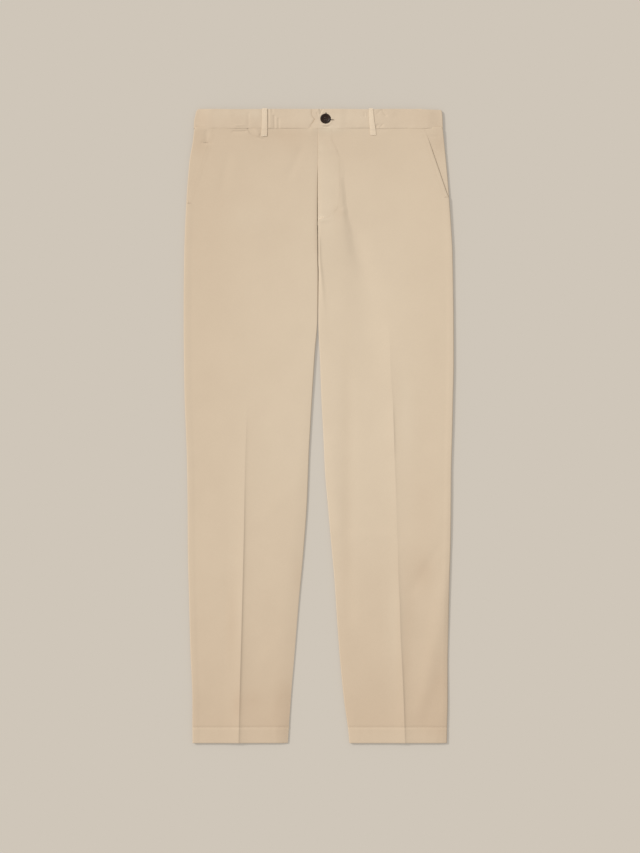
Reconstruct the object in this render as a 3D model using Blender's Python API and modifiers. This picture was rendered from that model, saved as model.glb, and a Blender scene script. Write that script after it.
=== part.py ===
"""Chino trousers laid flat on a surface, front side up.

The scene is in metres, and the sizes below are in millimetres. +Y runs to the waist, +X to the
wearer's left and +Z up. The origin is the middle of the outline, on the surface. "down" is the
distance from the top of the waistband towards the hems.
"""

import math
from collections import namedtuple

import bmesh
import bpy

MM = 0.001

# Main sizes
OUTSEAM = 1060.0          # top of the waistband to the hem
BAND_DEPTH = 33.4         # height of the waistband
FLY_END = 187.0           # bottom of the fly, from the top of the waistband
CROTCH = 270.0            # below this the legs are two tubes
FORK = 354.0              # down to here the two tubes lie against each other
HEM_DEPTH = 26.0          # height of the turned-up hem
CENTRE = -0.8             # the centre front and centre back seams

# Cloth
WALL = 1.2                # panels and flat loops
BAND_WALL = 1.8           # waistband: two layers and the stiffening between
FACING_WALL = 1.0         # fly facing, pocket facings and hem turn-ups
LOOP_WALL = 1.4           # front belt loops, folded double
SEAM_GAP = 0.3            # between neighbouring pieces
STEP_IN = WALL + SEAM_GAP

# Edges that turn over where the front meets the back
ROLL = 2.2                # width of a rolled edge
UPRIGHT = 0.35            # short upright stretch next to the seam
ROLL_MIDDLE = math.radians(45)

# Creases: a gentle rise on one side and a short fall on the other
RIDGE_RISE_SHARE = (0.35, 0.7, 0.9, 1.0)   # columns between an edge and the ridge
RIDGE_FALL = 5.0
RIDGE_RUN = 30.0

# Waistband
BAND_TOP = 7.0            # height of its front face
BAND_REST = 1.5           # height of its underside, which lies on the back loops
BAND_SIDE_STEPS = 6
BAND_DOWNS = (33.4, 26.8, 18.4, 12.0, 6.0, 0.0)
OVERLAP_LIFT = 0.8        # rise of the left half where it laps the right half
OVERLAP_LIFT_START = 45.0
OVERLAP_LIFT_END = 35.0
UNDERLAP_REACH = 30.0
UNDERLAP_DIP = 1.3
UNDERLAP_DIP_START = -42.0
UNDERLAP_DIP_END = -18.0

# Fly
LAP = 8.0                 # how far the right front runs on below the left front
LAP_END = 196.0
DIP_RUN = 18.0            # the right front goes down to the lap over this width
DIP_FLAT = 3.2            # and is level again this far before the fly's edge
FLY_WIDTH = 34.0
FLY_CURVE = 22.0          # height of the curve at the foot of the fly facing
FLY_FOOT = 16.0           # width of the facing at its foot
PLATEAU_END = 300.0       # the raised fly strip has eased into the crease by here

# Slash pockets: a straight mouth from the waistband out to the side seam
POCKET_START = 178.0      # distance from the centre at the foot of the waistband
POCKET_SLOPE = 0.333
POCKET_CLOSING = 6.0      # stretch in which the mouth meets the side seam
POCKET_LAP = 12.0         # facing that runs on below the front

# Belt loops
LOOP_WIDTH = 9.8
LOOP_LENGTH = 46.8
LOOP_BOW = 1.1
LOOP_EASE = 5.0           # stretch in which a loop comes down from the band to the panel
BACK_LOOP_REACH = 168.0

# Button
BUTTON_X = 12.0
BUTTON_DOWN = 17.4
BUTTON_RADIUS = 8.8
BUTTON_HEIGHT = 3.2
BUTTON_STEPS = 24
BUTTON_HOLE_RADIUS = 0.95
BUTTON_HOLE_OFFSET = 1.6

CLOTH = (0.665, 0.527, 0.386)
BAND_CLOTH = (0.665, 0.530, 0.390)
LOOP_CLOTH = (0.730, 0.590, 0.440)
INNER_CLOTH = (0.620, 0.485, 0.350)
HORN = (0.032, 0.019, 0.012)

Section = namedtuple("Section", "down outer inner ridge rise")
Layer = namedtuple("Layer", "down front rest")
Fly = namedtuple("Fly", "down dip")
End = namedtuple("End", "down reach")
Fold = namedtuple("Fold", "down x down_end x_end width height")
Loop = namedtuple("Loop", "name x foot_x")
Leg = namedtuple("Leg", "name side sections folds pocket_end")

# Outline and crease of each leg: where its edges and its crease lie, and how high the crease is
LEFT_SECTIONS = (
    Section(33.4, 207.3, -0.65, 20.0, 0.7),
    Section(54, 209.0, -0.65, 23.5, 0.8),
    Section(87, 212.2, -0.65, 33.5, 0.8),
    Section(120, 214.9, -0.65, 38.4, 0.9),
    Section(154, 217.4, -0.65, 43.0, 1.0),
    Section(201, 220.4, -0.65, 57.0, 1.1),
    Section(241, 222.5, -0.65, 61.0, 1.0),
    Section(304, 223.6, -0.65, 92.8, 0.7),
    Section(354, 224.0, 0.0, 112.0, 0.7),
    Section(423, 224.0, 5.0, 122.4, 1.0),
    Section(488, 224.0, 7.2, 126.3, 1.1),
    Section(609, 221.8, 12.6, 131.2, 1.2),
    Section(719, 219.8, 20.3, 135.6, 1.3),
    Section(868, 217.7, 31.9, 141.0, 1.4),
    Section(990, 216.5, 44.0, 145.0, 1.5),
    Section(1034, 215.7, 50.4, 146.4, 1.5),
    Section(1060, 215.4, 52.8, 148.0, 1.4),
)
RIGHT_SECTIONS = (
    Section(33.4, -208.5, -0.95, -100.0, 0.0),
    Section(54, -211.5, -0.95, -102.0, 0.0),
    Section(87, -217.0, -0.95, -104.0, 0.0),
    Section(154, -221.0, -0.95, -107.0, 0.0),
    Section(241, -223.7, -0.95, -110.0, 0.0),
    Section(304, -224.0, -0.95, -111.0, 0.1),
    Section(354, -224.0, -1.7, -112.0, 0.2),
    Section(423, -223.5, -8.0, -114.5, 0.4),
    Section(488, -222.7, -11.9, -115.8, 0.9),
    Section(609, -219.7, -18.8, -121.0, 1.2),
    Section(719, -217.0, -25.5, -123.7, 1.3),
    Section(868, -213.9, -37.9, -127.4, 1.4),
    Section(990, -209.8, -48.2, -130.0, 1.5),
    Section(1034, -207.9, -51.3, -131.0, 1.5),
    Section(1060, -206.8, -52.5, -131.4, 1.4),
)

# Height of the front's face and of the back's underside
LAYERS = (
    Layer(33.4, 6.5, BAND_REST),
    Layer(52, 6.4, BAND_REST),
    Layer(95, 5.8, 0.0),
    Layer(154, 5.3, 0.0),
    Layer(241, 4.7, 0.0),
    Layer(354, 4.4, 0.0),
    Layer(868, 4.4, 0.0),
    Layer(990, 4.8, 0.0),
    Layer(1034, 5.6, 0.0),
    Layer(1060, 5.6, 0.0),
)

# How far the right front lies below the left front at the centre
RIGHT_DIPS = (
    Fly(33.4, 2.1),
    Fly(54, 2.0),
    Fly(87, 2.0),
    Fly(120, 1.9),
    Fly(154, 1.8),
    Fly(190, 1.7),
    Fly(206, 1.0),
    Fly(304, 0.6),
    Fly(354, 0.0),
)

# Slanted end of the left waistband, from the top edge to the bottom edge
OVERLAP_END = (
    End(0.0, -11.5),
    End(12.0, -11.2),
    End(18.4, -8.2),
    End(26.8, -14.5),
    End(33.4, -16.7),
)
# Side edges of the waistband, which round in at the wearer's right top corner
LEFT_BAND_SIDE = (End(0.0, 205.3), End(6.0, 206.2), End(33.4, 207.3))
RIGHT_BAND_SIDE = (End(0.0, 199.5), End(6.0, 205.4), End(33.4, 208.5))

# Soft folds: from one point to another, half their width and their height
LEFT_FOLDS = (
    Fold(770, 172.0, 728, 200.0, 16.0, 0.8),
    Fold(1000, 166.0, 962, 196.0, 16.0, 0.8),
    Fold(560, 20.0, 700, 32.0, 14.0, 0.6),
)
RIGHT_FOLDS = (
    Fold(690, -92.0, 630, -42.0, 18.0, 0.7),
    Fold(930, -78.0, 880, -58.0, 16.0, 0.6),
)

LEFT = Leg("left", 1, LEFT_SECTIONS, LEFT_FOLDS, 146.0)
RIGHT = Leg("right", -1, RIGHT_SECTIONS, RIGHT_FOLDS, 162.0)

FRONT_LOOPS = (
    Loop("belt_loop_front_right", -90.0, -91.5),
    Loop("belt_loop_front_left", 87.6, 90.9),
)
BACK_LOOPS = (
    Loop("belt_loop_back_right", -BACK_LOOP_REACH, -BACK_LOOP_REACH),
    Loop("belt_loop_back_centre", CENTRE, CENTRE),
    Loop("belt_loop_back_left", BACK_LOOP_REACH, BACK_LOOP_REACH),
)


# ---- Curves through the tables

def slope_at(places, values, index):
    """Slope of a smooth curve that doesn't overshoot its points."""
    if index in (0, len(places) - 1):
        near = 1 if index == 0 else index - 1
        return (values[near] - values[index]) / (places[near] - places[index])
    before = (values[index] - values[index - 1]) / (places[index] - places[index - 1])
    after = (values[index + 1] - values[index]) / (places[index + 1] - places[index])
    if before * after <= 0:
        return 0.0
    return 2 * before * after / (before + after)


def read(rows, column, down):
    """Value of a table's column at a distance down, on a smooth curve through its rows."""
    places = [row.down for row in rows]
    values = [getattr(row, column) for row in rows]
    if down <= places[0]:
        return values[0]
    if down >= places[-1]:
        return values[-1]
    index = max(i for i in range(len(rows) - 1) if places[i] <= down)
    span = places[index + 1] - places[index]
    t = (down - places[index]) / span
    start_slope = slope_at(places, values, index) * span
    end_slope = slope_at(places, values, index + 1) * span
    return (
        values[index] * (2 * t**3 - 3 * t**2 + 1)
        + start_slope * (t**3 - 2 * t**2 + t)
        + values[index + 1] * (3 * t**2 - 2 * t**3)
        + end_slope * (t**3 - t**2)
    )


def ease(start, end, value):
    """0 before start, 1 after end and smooth between."""
    t = min(1.0, max(0.0, (value - start) / (end - start)))
    return t * t * (3 - 2 * t)


def between(start, end, share):
    return start + (end - start) * share


# ---- Heights of the cloth

def ridge_height(leg, x, down):
    """The pressed crease and, above it, the raised fly strip and its drag fold."""
    ridge = read(leg.sections, "ridge", down)
    rise = read(leg.sections, "rise", down)
    if x >= ridge:
        return rise * max(0.0, 1 - (x - ridge) / RIDGE_FALL)
    slope = max(0.0, 1 + (x - ridge) / RIDGE_RUN) ** 2
    plateau = 0.0
    if leg is LEFT:
        plateau = 1 - ease(FLY_END + SEAM_GAP, PLATEAU_END, down)
    return rise * between(slope, 1.0, plateau)


def fold_height(leg, x, down):
    """Sum of the soft folds at a point."""
    total = 0.0
    for fold in leg.folds:
        run_x = fold.x_end - fold.x
        run_down = fold.down_end - fold.down
        length = math.hypot(run_x, run_down)
        along = ((x - fold.x) * run_x + (down - fold.down) * run_down) / length
        across = ((x - fold.x) * run_down - (down - fold.down) * run_x) / length
        past = max(0.0, -along, along - length)
        total += fold.height * math.exp(-(across**2 + past**2) / fold.width**2)
    return total


def front_height(leg, x, down):
    """Height of a front's face, away from its rolled edges."""
    height = read(LAYERS, "front", down)
    height += ridge_height(leg, x, down)
    height += fold_height(leg, x, down)
    if leg is RIGHT:
        lowered = ease(CENTRE - DIP_RUN, CENTRE - DIP_FLAT, x)
        height -= read(RIGHT_DIPS, "dip", down) * lowered
    return height


def seam_height(down):
    """Height at which a front's rolled edge meets the back's."""
    return (read(LAYERS, "front", down) + read(LAYERS, "rest", down)) / 2


def edge_points(x_edge, inward, drop, turn):
    """Four points from a panel's edge inwards: x, and how far the point lies from the face.

    turn is 0 for an edge that stays flat and 1 for one that rolls over by drop.
    """
    drop = drop * turn
    start = UPRIGHT * (1 - turn)
    left_over = drop - UPRIGHT * turn
    return [
        (x_edge, drop),
        (x_edge + inward * start, left_over),
        (x_edge + inward * (start + ROLL * (1 - math.cos(ROLL_MIDDLE))),
         left_over * (1 - math.sin(ROLL_MIDDLE))),
        (x_edge + inward * (start + ROLL), 0.0),
    ]


# ---- Edges of the panels

def pocket_mouth(leg, down):
    return leg.side * (POCKET_START + POCKET_SLOPE * (down - BAND_DEPTH))


def pocket_closed(leg, down):
    """0 along the open pocket mouth and 1 where the front meets the side seam."""
    return ease(leg.pocket_end - POCKET_CLOSING, leg.pocket_end, down)


def legs_apart(down):
    """0 above the crotch and 1 where the legs are separate tubes."""
    return ease(CROTCH, FORK, down)


def panel_downs(leg):
    """Rows of a panel, from the hem up to the waistband."""
    stretches = (
        (OUTSEAM, OUTSEAM - HEM_DEPTH, 2),
        (OUTSEAM - HEM_DEPTH, FORK, 22),
        (FORK, CROTCH, 4),
        (CROTCH, LAP_END, 3),
        (LAP_END, FLY_END, 1),
        (FLY_END, leg.pocket_end, 1),
        (leg.pocket_end, leg.pocket_end - POCKET_CLOSING, 2),
        (leg.pocket_end - POCKET_CLOSING, BAND_DEPTH + SEAM_GAP, 5),
    )
    downs = [OUTSEAM]
    for start, end, steps in stretches:
        downs += [between(start, end, (i + 1) / steps) for i in range(steps)]
    return downs


def front_row(leg, down):
    """Points across a front, from the wearer's right to the left: x and height."""
    closed = pocket_closed(leg, down)
    side = read(leg.sections, "outer", down)
    outer = between(pocket_mouth(leg, down), side, closed)
    inner = read(leg.sections, "inner", down)
    lap = LAP * (1 - ease(FLY_END, LAP_END, down)) if leg is RIGHT else 0.0
    ridge = read(leg.sections, "ridge", down)
    drop = read(LAYERS, "front", down) - seam_height(down)

    outer_edge = edge_points(outer, -leg.side, drop, closed)
    inner_edge = edge_points(inner + lap, leg.side, drop, legs_apart(down))
    first, last = (inner_edge, outer_edge) if leg is LEFT else (outer_edge, inner_edge)
    before = [(between(first[-1][0], ridge, share), 0.0) for share in RIDGE_RISE_SHARE]
    after = [(ridge + RIDGE_FALL / 2, 0.0), (ridge + RIDGE_FALL, 0.0)]
    if leg is LEFT:
        flat = [(between(after[-1][0], last[-1][0], share), 0.0) for share in (0.25, 0.5, 0.75)]
    else:
        dip_start = inner - DIP_RUN
        flat = [(between(after[-1][0], dip_start, share), 0.0) for share in (0.35, 0.7, 1.0)]
        flat += [(inner - DIP_RUN / 2, 0.0), (inner - DIP_FLAT, 0.0)]
    points = first + before + after + flat + last[::-1]
    return [(x, front_height(leg, x, down) - fall) for x, fall in points]


def back_row(leg, down):
    """Points across a back's underside, from the wearer's right to the left."""
    rest = read(LAYERS, "rest", down)
    rise = seam_height(down) - SEAM_GAP - rest
    outer_edge = edge_points(read(leg.sections, "outer", down), -leg.side, rise, 1.0)
    inner_edge = edge_points(
        read(leg.sections, "inner", down), leg.side, rise, legs_apart(down)
    )
    first, last = (inner_edge, outer_edge) if leg is LEFT else (outer_edge, inner_edge)
    middle = [(between(first[-1][0], last[-1][0], share), 0.0) for share in (0.33, 0.67)]
    return [(x, rest + lift) for x, lift in first + middle + last[::-1]]


# ---- Making solids

def new_material(name, colour, roughness):
    material = bpy.data.materials.new(name)
    material.use_nodes = True
    shader = material.node_tree.nodes["Principled BSDF"]
    shader.inputs["Base Color"].default_value = (*colour, 1.0)
    shader.inputs["Roughness"].default_value = roughness
    shader.inputs["Metallic"].default_value = 0.0
    return material


def add_piece(name, mesh, colour, roughness=0.9):
    """Put a mesh in the trousers' collection with a material of its own."""
    mesh.materials.append(new_material(name, colour, roughness))
    piece = bpy.data.objects.new(name, mesh)
    trousers.objects.link(piece)
    return piece


def add_cloth(name, rows, wall, colour, underside=False):
    """A piece of cloth from rows of points on its outer face, hem end first.

    Each row is (down, points), and its points are (x, height). The face looks up, or down
    where it is an underside, and the wall's thickness goes inwards.
    """
    across = len(rows[0][1]) - 1
    along = len(rows) - 1
    grid = bmesh.new()
    bmesh.ops.create_grid(grid, x_segments=across, y_segments=along, size=0.5)
    for point in grid.verts:
        down, section = rows[round((point.co.y + 0.5) * along)]
        x, height = section[round((point.co.x + 0.5) * across)]
        point.co = (x * MM, (OUTSEAM / 2 - down) * MM, height * MM)
    if underside:
        bmesh.ops.reverse_faces(grid, faces=grid.faces)
    mesh = bpy.data.meshes.new(name)
    grid.to_mesh(mesh)
    grid.free()
    mesh.shade_smooth()
    piece = add_piece(name, mesh, colour)
    thickness = piece.modifiers.new("wall", "SOLIDIFY")
    thickness.thickness = wall * MM
    thickness.offset = -1.0
    thickness.use_even_offset = True
    return piece


# ---- The pieces

def add_panels(leg):
    downs = panel_downs(leg)
    add_cloth(f"front_{leg.name}", [(d, front_row(leg, d)) for d in downs], WALL, CLOTH)
    add_cloth(
        f"back_{leg.name}", [(d, back_row(leg, d)) for d in downs], WALL, CLOTH, underside=True
    )


def add_hems(leg):
    """The turned-up ends of the front and the back, inside the leg."""
    edge = 3                                   # points of a panel's rolled edge
    downs = [d for d in panel_downs(leg) if d >= OUTSEAM - HEM_DEPTH]
    front_rows = []
    back_rows = []
    for down in downs:
        section = front_row(leg, down)[edge:-edge]
        front_rows.append((down, [(x, height - STEP_IN) for x, height in section]))
        top = read(LAYERS, "rest", down) + STEP_IN + FACING_WALL
        back_rows.append((down, [(x, top) for x, _ in back_row(leg, down)[edge:-edge]]))
    add_cloth(f"hem_front_{leg.name}", front_rows, FACING_WALL, INNER_CLOTH)
    add_cloth(f"hem_back_{leg.name}", back_rows, FACING_WALL, INNER_CLOTH)


def add_pocket_facing(leg):
    """The cloth that shows between the pocket mouth and the side seam."""
    rows = []
    for down in panel_downs(leg):
        if down > leg.pocket_end - POCKET_CLOSING:
            continue
        mouth = pocket_mouth(leg, down)
        side = read(leg.sections, "outer", down)
        face = read(LAYERS, "front", down) - STEP_IN
        edge = edge_points(side, -leg.side, face - seam_height(down) - SEAM_GAP, 1.0)
        points = [(mouth - leg.side * POCKET_LAP, 0.0), (mouth, 0.0)] + edge[::-1]
        if leg is RIGHT:
            points.reverse()
        rows.append((down, [(x, face - fall) for x, fall in points]))
    add_cloth(f"pocket_facing_{leg.name}", rows, FACING_WALL, INNER_CLOTH)


def add_fly_facing():
    """The second layer under the edge of the left front, with a curved foot."""
    inner = CENTRE + SEAM_GAP
    rows = []
    for down in (FLY_END, 183, 177, 165, 140, 110, 80, 55, BAND_DEPTH + SEAM_GAP):
        near_foot = ease(FLY_END - FLY_CURVE, FLY_END, down) ** 2
        width = min(FLY_WIDTH, read(LEFT_SECTIONS, "ridge", down) - 1)
        outer = between(width, FLY_FOOT, near_foot)
        points = [between(inner, outer, share) for share in (0.0, 0.35, 0.7, 1.0)]
        rows.append((down, [(x, front_height(LEFT, x, down) - STEP_IN) for x in points]))
    add_cloth("fly_facing", rows, FACING_WALL, INNER_CLOTH)


def band_side(side, down):
    """Points of the waistband's side, from its front face round to its underside."""
    radius = (BAND_TOP - BAND_REST) / 2
    edge = side * read(LEFT_BAND_SIDE if side > 0 else RIGHT_BAND_SIDE, "reach", down)
    points = []
    for step in range(BAND_SIDE_STEPS + 1):
        angle = math.pi * step / BAND_SIDE_STEPS
        x = edge - side * radius * (1 - math.sin(angle))
        points.append((x, BAND_REST + radius * (1 + math.cos(angle))))
    return points


def add_left_band():
    """From the pointed overlap round the side to the centre back."""
    rows = []
    for down in BAND_DOWNS:
        end = read(OVERLAP_END, "reach", down)
        face = []
        for x in (end, 18.0, OVERLAP_LIFT_END, OVERLAP_LIFT_START, 75.0, 105.0, 155.0):
            lift = OVERLAP_LIFT * (1 - ease(OVERLAP_LIFT_END, OVERLAP_LIFT_START, x))
            face.append((x, BAND_TOP + lift))
        under = [(x, BAND_REST) for x in (135.0, 65.0, CENTRE + SEAM_GAP / 2)]
        rows.append((down, face + band_side(1, down) + under))
    add_cloth("waistband_left", rows, BAND_WALL, BAND_CLOTH)


def add_right_band():
    """From the centre back round the side to the underlap that carries the button."""
    middle = (UNDERLAP_DIP_START + UNDERLAP_DIP_END) / 2
    rows = []
    for down in BAND_DOWNS:
        face = []
        for x in (-155.0, -105.0, -75.0, UNDERLAP_DIP_START, middle, UNDERLAP_DIP_END,
                  5.0, UNDERLAP_REACH):
            dip = UNDERLAP_DIP * ease(UNDERLAP_DIP_START, UNDERLAP_DIP_END, x)
            face.append((x, BAND_TOP - dip))
        under = [(x, BAND_REST) for x in (CENTRE - SEAM_GAP / 2, -65.0, -135.0)]
        rows.append((down, under + band_side(-1, down)[::-1] + face))
    add_cloth("waistband_right", rows, BAND_WALL, BAND_CLOTH)


def add_front_loop(loop):
    """A strip that stands off the waistband a little and comes down on the panel."""
    rows = []
    for down in (LOOP_LENGTH, 43, 40, 37, BAND_DEPTH, 29, 23, 17, 11, 5, 0.2):
        share = down / LOOP_LENGTH
        x = between(loop.x, loop.foot_x, share)
        lowered = ease(BAND_DEPTH + SEAM_GAP, BAND_DEPTH + LOOP_EASE, down)
        base = between(BAND_TOP, read(LAYERS, "front", down), lowered)
        bow = LOOP_BOW * math.sin(math.pi * min(1.0, down / (BAND_DEPTH + LOOP_EASE)))
        height = base + SEAM_GAP + bow + LOOP_WALL
        rows.append((down, [(x + LOOP_WIDTH * t, height) for t in (-0.5, 0.0, 0.5)]))
    add_cloth(loop.name, rows, LOOP_WALL, LOOP_CLOTH)


def add_back_loop(loop):
    """A strip that lies flat on the surface, under the waistband."""
    points = [(loop.x + LOOP_WIDTH * t, 0.0) for t in (-0.5, 0.5)]
    rows = [(down, points) for down in (LOOP_LENGTH, BAND_DEPTH, 0.2)]
    add_cloth(loop.name, rows, WALL, LOOP_CLOTH, underside=True)


def add_cutter(x, y, z):
    """A rod that cuts one hole of the button."""
    bpy.ops.mesh.primitive_cylinder_add(
        vertices=12,
        radius=BUTTON_HOLE_RADIUS * MM,
        depth=3 * BUTTON_HEIGHT * MM,
        location=(x * MM, y * MM, z * MM),
    )
    rod = bpy.context.active_object
    for collection in list(rod.users_collection):
        collection.objects.unlink(rod)
    cutters.objects.link(rod)
    rod.name = "button_hole_cutter"
    rod.hide_render = True
    rod.display_type = "WIRE"
    return rod


def add_button():
    """A turned button with a rounded rim, a dished face and four holes."""
    base = BAND_TOP + OVERLAP_LIFT + SEAM_GAP
    dish = 0.9
    profile = (
        (0.0, BUTTON_HEIGHT - dish),
        (5.2, BUTTON_HEIGHT - dish),
        (6.4, BUTTON_HEIGHT - 0.2),
        (7.2, BUTTON_HEIGHT),
        (8.2, BUTTON_HEIGHT - 0.4),
        (BUTTON_RADIUS, BUTTON_HEIGHT - 1.4),
        (8.2, 0.7),
        (6.4, 0.0),
        (0.0, 0.0),
    )
    mesh = bpy.data.meshes.new("button")
    points = [(radius * MM, 0.0, height * MM) for radius, height in profile]
    mesh.from_pydata(points, [(i, i + 1) for i in range(len(points) - 1)], [])
    button = add_piece("button", mesh, HORN, roughness=0.35)
    y = OUTSEAM / 2 - BUTTON_DOWN
    button.location = (BUTTON_X * MM, y * MM, base * MM)
    turn = button.modifiers.new("turn", "SCREW")
    turn.steps = BUTTON_STEPS
    turn.render_steps = BUTTON_STEPS
    turn.use_merge_vertices = True
    turn.merge_threshold = 0.00001
    for x_sign in (-1, 1):
        for y_sign in (-1, 1):
            rod = add_cutter(
                BUTTON_X + x_sign * BUTTON_HOLE_OFFSET,
                y + y_sign * BUTTON_HOLE_OFFSET,
                base + BUTTON_HEIGHT / 2,
            )
            hole = button.modifiers.new("hole", "BOOLEAN")
            hole.object = rod
            hole.operation = "DIFFERENCE"


def new_collection(name):
    collection = bpy.data.collections.new(name)
    bpy.context.scene.collection.children.link(collection)
    return collection


for leftover in list(bpy.data.objects):
    bpy.data.objects.remove(leftover, do_unlink=True)
trousers = new_collection("chino_trousers")
cutters = new_collection("cutters")

for one_leg in (RIGHT, LEFT):
    add_panels(one_leg)
    add_hems(one_leg)
    add_pocket_facing(one_leg)
add_fly_facing()
add_right_band()
add_left_band()
for one_loop in FRONT_LOOPS:
    add_front_loop(one_loop)
for one_loop in BACK_LOOPS:
    add_back_loop(one_loop)
add_button()
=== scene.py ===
import bisect
import math
from functools import lru_cache

import bmesh
import bpy
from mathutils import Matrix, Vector, noise


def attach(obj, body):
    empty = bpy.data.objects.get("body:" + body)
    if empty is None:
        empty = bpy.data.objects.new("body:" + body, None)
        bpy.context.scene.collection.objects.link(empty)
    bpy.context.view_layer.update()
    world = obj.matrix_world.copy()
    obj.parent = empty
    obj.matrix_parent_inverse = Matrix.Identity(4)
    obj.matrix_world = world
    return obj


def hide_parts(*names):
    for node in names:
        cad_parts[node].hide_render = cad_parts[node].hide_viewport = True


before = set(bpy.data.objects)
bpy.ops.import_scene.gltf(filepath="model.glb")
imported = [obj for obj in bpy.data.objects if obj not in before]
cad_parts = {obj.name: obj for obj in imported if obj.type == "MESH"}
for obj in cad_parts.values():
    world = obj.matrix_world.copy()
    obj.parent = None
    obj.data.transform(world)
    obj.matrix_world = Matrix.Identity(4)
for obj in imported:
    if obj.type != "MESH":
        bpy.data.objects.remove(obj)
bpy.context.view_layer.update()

mm = 0.001
scene = bpy.context.scene

# Sizes are in mm. x runs to the wearer's left, "down" from the top of the waistband to the hems.
trousers = {
    "outseam": 1060.0,
    "bandDepth": 33.4,
    "flyEnd": 187.0,
    "lapEnd": 196.0,
    "crotch": 270.0,       # below this the legs are two tubes
    "fork": 354.0,         # down to here the tubes lie against each other
    "hemDepth": 26.5,
    "hemRows": 1016.0,     # from here down the rows of points stand closer
    "lastRow": 1058.9,
    "centre": -0.8,
    "wall": 0.6,           # one layer of twill
    "bandWall": 1.6,
    "turnUpWall": 0.7,
    "facingWall": 0.5,
    "stepIn": 1.5,         # from one layer's face down to the next layer's face
    "underFly": 8.0,       # the right front goes on below the left one
    "allowance": (6.5, 13.0),
    "allowanceRise": 0.3,
}


# ---- curves through short tables

def track(rows, column):
    # value of one column at a distance down, smooth and with no overshoot
    places = [row[0] for row in rows]
    values = [row[column] for row in rows]
    spans = list(zip(zip(places, values), zip(places[1:], values[1:])))
    steps = [(value2 - value1) / (place2 - place1) for (place1, value1), (place2, value2) in spans]
    slopes = [2 * a * b / (a + b) if a * b > 0 else 0.0 for a, b in zip(steps, steps[1:])]
    slopes = [steps[0]] + slopes + [steps[-1]]

    def valueAt(place):
        if place <= places[0]:
            return values[0]
        if place >= places[-1]:
            return values[-1]
        i = bisect.bisect_right(places, place) - 1
        span = places[i + 1] - places[i]
        t = (place - places[i]) / span
        return (values[i] * (2 * t**3 - 3 * t**2 + 1) + slopes[i] * span * (t**3 - 2 * t**2 + t)
                + values[i + 1] * (3 * t**2 - 2 * t**3) + slopes[i + 1] * span * (t**3 - t**2))

    return valueAt


def ease(start, end, value):
    t = min(1.0, max(0.0, (value - start) / (end - start)))
    return t * t * (3 - 2 * t)


def between(start, end, share):
    return start + (end - start) * share


def evenly(start, end, count):
    return [between(start, end, i / (count - 1)) for i in range(count)]


def crowded(start, end, count, power):
    # closer at the start
    return [between(start, end, share**power) for share in evenly(0.0, 1.0, count)]


def wave(x, down, size, seed):
    # soft unevenness between about -1 and 1
    return 1.6 * noise.noise(Vector((x / size, down / size, seed)))


def waves(kind, x, down=0.0):
    return sum(height * wave(x, down * drawn, size, seed)
               for height, drawn, size, seed in waveKinds[kind])


# ---- the cut and the lie of the cloth

# kinds of unevenness: height, how far it varies down the leg, size, seed
waveKinds = {
    "cloth": ((0.24, 0.7, 75, 1.3), (0.07, 0.8, 24, 5.2)),
    "waistPuckers": ((0.12, 0.3, 11, 2.4),),
    "waistLine": ((0.45, 0, 30, 1.9),),
    "hemPuckers": ((0.17, 0.25, 9, 7.7),),
    "hemLine": ((0.5, 0, 38, 3.1),),
    "back": ((0.3, 0.6, 60, 9.4), (0.1, 1, 19, 4.4)),
    "turnUp": ((0.12, 1, 22, 6.6),),
    "band": ((0.13, 0.4, 26, 3.7), (0.06, 0.8, 9, 6.1)),
    "bandFoot": ((0.16, 0, 13, 2.9),),
    "bandTop": ((0.10, 0, 17, 8.8),),
    "bandTopLine": ((0.4, 0, 55, 4.2),),
    "bandUnder": ((0.16, 1, 30, 5.9),),
}

# height of a front's face and of a back's underside
layerTable = (
    (33.4, 6.5, 1.5), (52, 6.4, 1.5), (95, 5.8, 0), (154, 5.3, 0), (241, 4.7, 0), (354, 4.4, 0),
    (868, 4.4, 0), (990, 4.8, 0), (1034, 5.5, 0), (1060, 5.6, 0),
)

# outline: down, outer edge, inner edge
leftTable = (
    (33.4, 207.6, -0.65), (54, 209.7, -0.65), (87, 213.2, -0.8), (120, 216.2, -0.9),
    (154, 218.8, -0.75), (201, 222.0, -0.65), (241, 224.2, -0.35), (256, 224.5, -0.45),
    (272, 224.9, 0.25), (304, 225.4, -0.1), (354, 226.0, -0.4), (423, 226.2, 2.6),
    (488, 224.9, 5.0), (540, 223.8, 7.8), (609, 222.0, 11.0), (660, 221.7, 15.4),
    (719, 221.0, 20.5), (790, 218.9, 26.8), (868, 217.1, 31.9), (930, 215.8, 36.8),
    (990, 215.9, 42.9), (1034, 214.9, 49.0), (1060, 214.5, 51.8),
)
rightTable = (
    (33.4, -207.4, -0.95), (54, -209.7, -0.95), (87, -215.3, -0.95), (114, -217.8, -0.95),
    (154, -220.6, -0.95), (200, -222.9, -0.95), (241, -224.3, -0.6), (272, -224.8, -0.45),
    (304, -225.2, -0.6), (354, -225.3, -1.4), (404, -225.0, -5.4), (488, -223.6, -10.9),
    (540, -221.5, -13.9), (572, -220.2, -15.7), (655, -218.8, -18.9), (739, -218.3, -25.0),
    (823, -216.2, -32.8), (906, -214.0, -39.7), (990, -210.6, -46.9), (1023, -210.7, -49.2),
    (1060, -210.4, -51.4),
)

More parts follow.
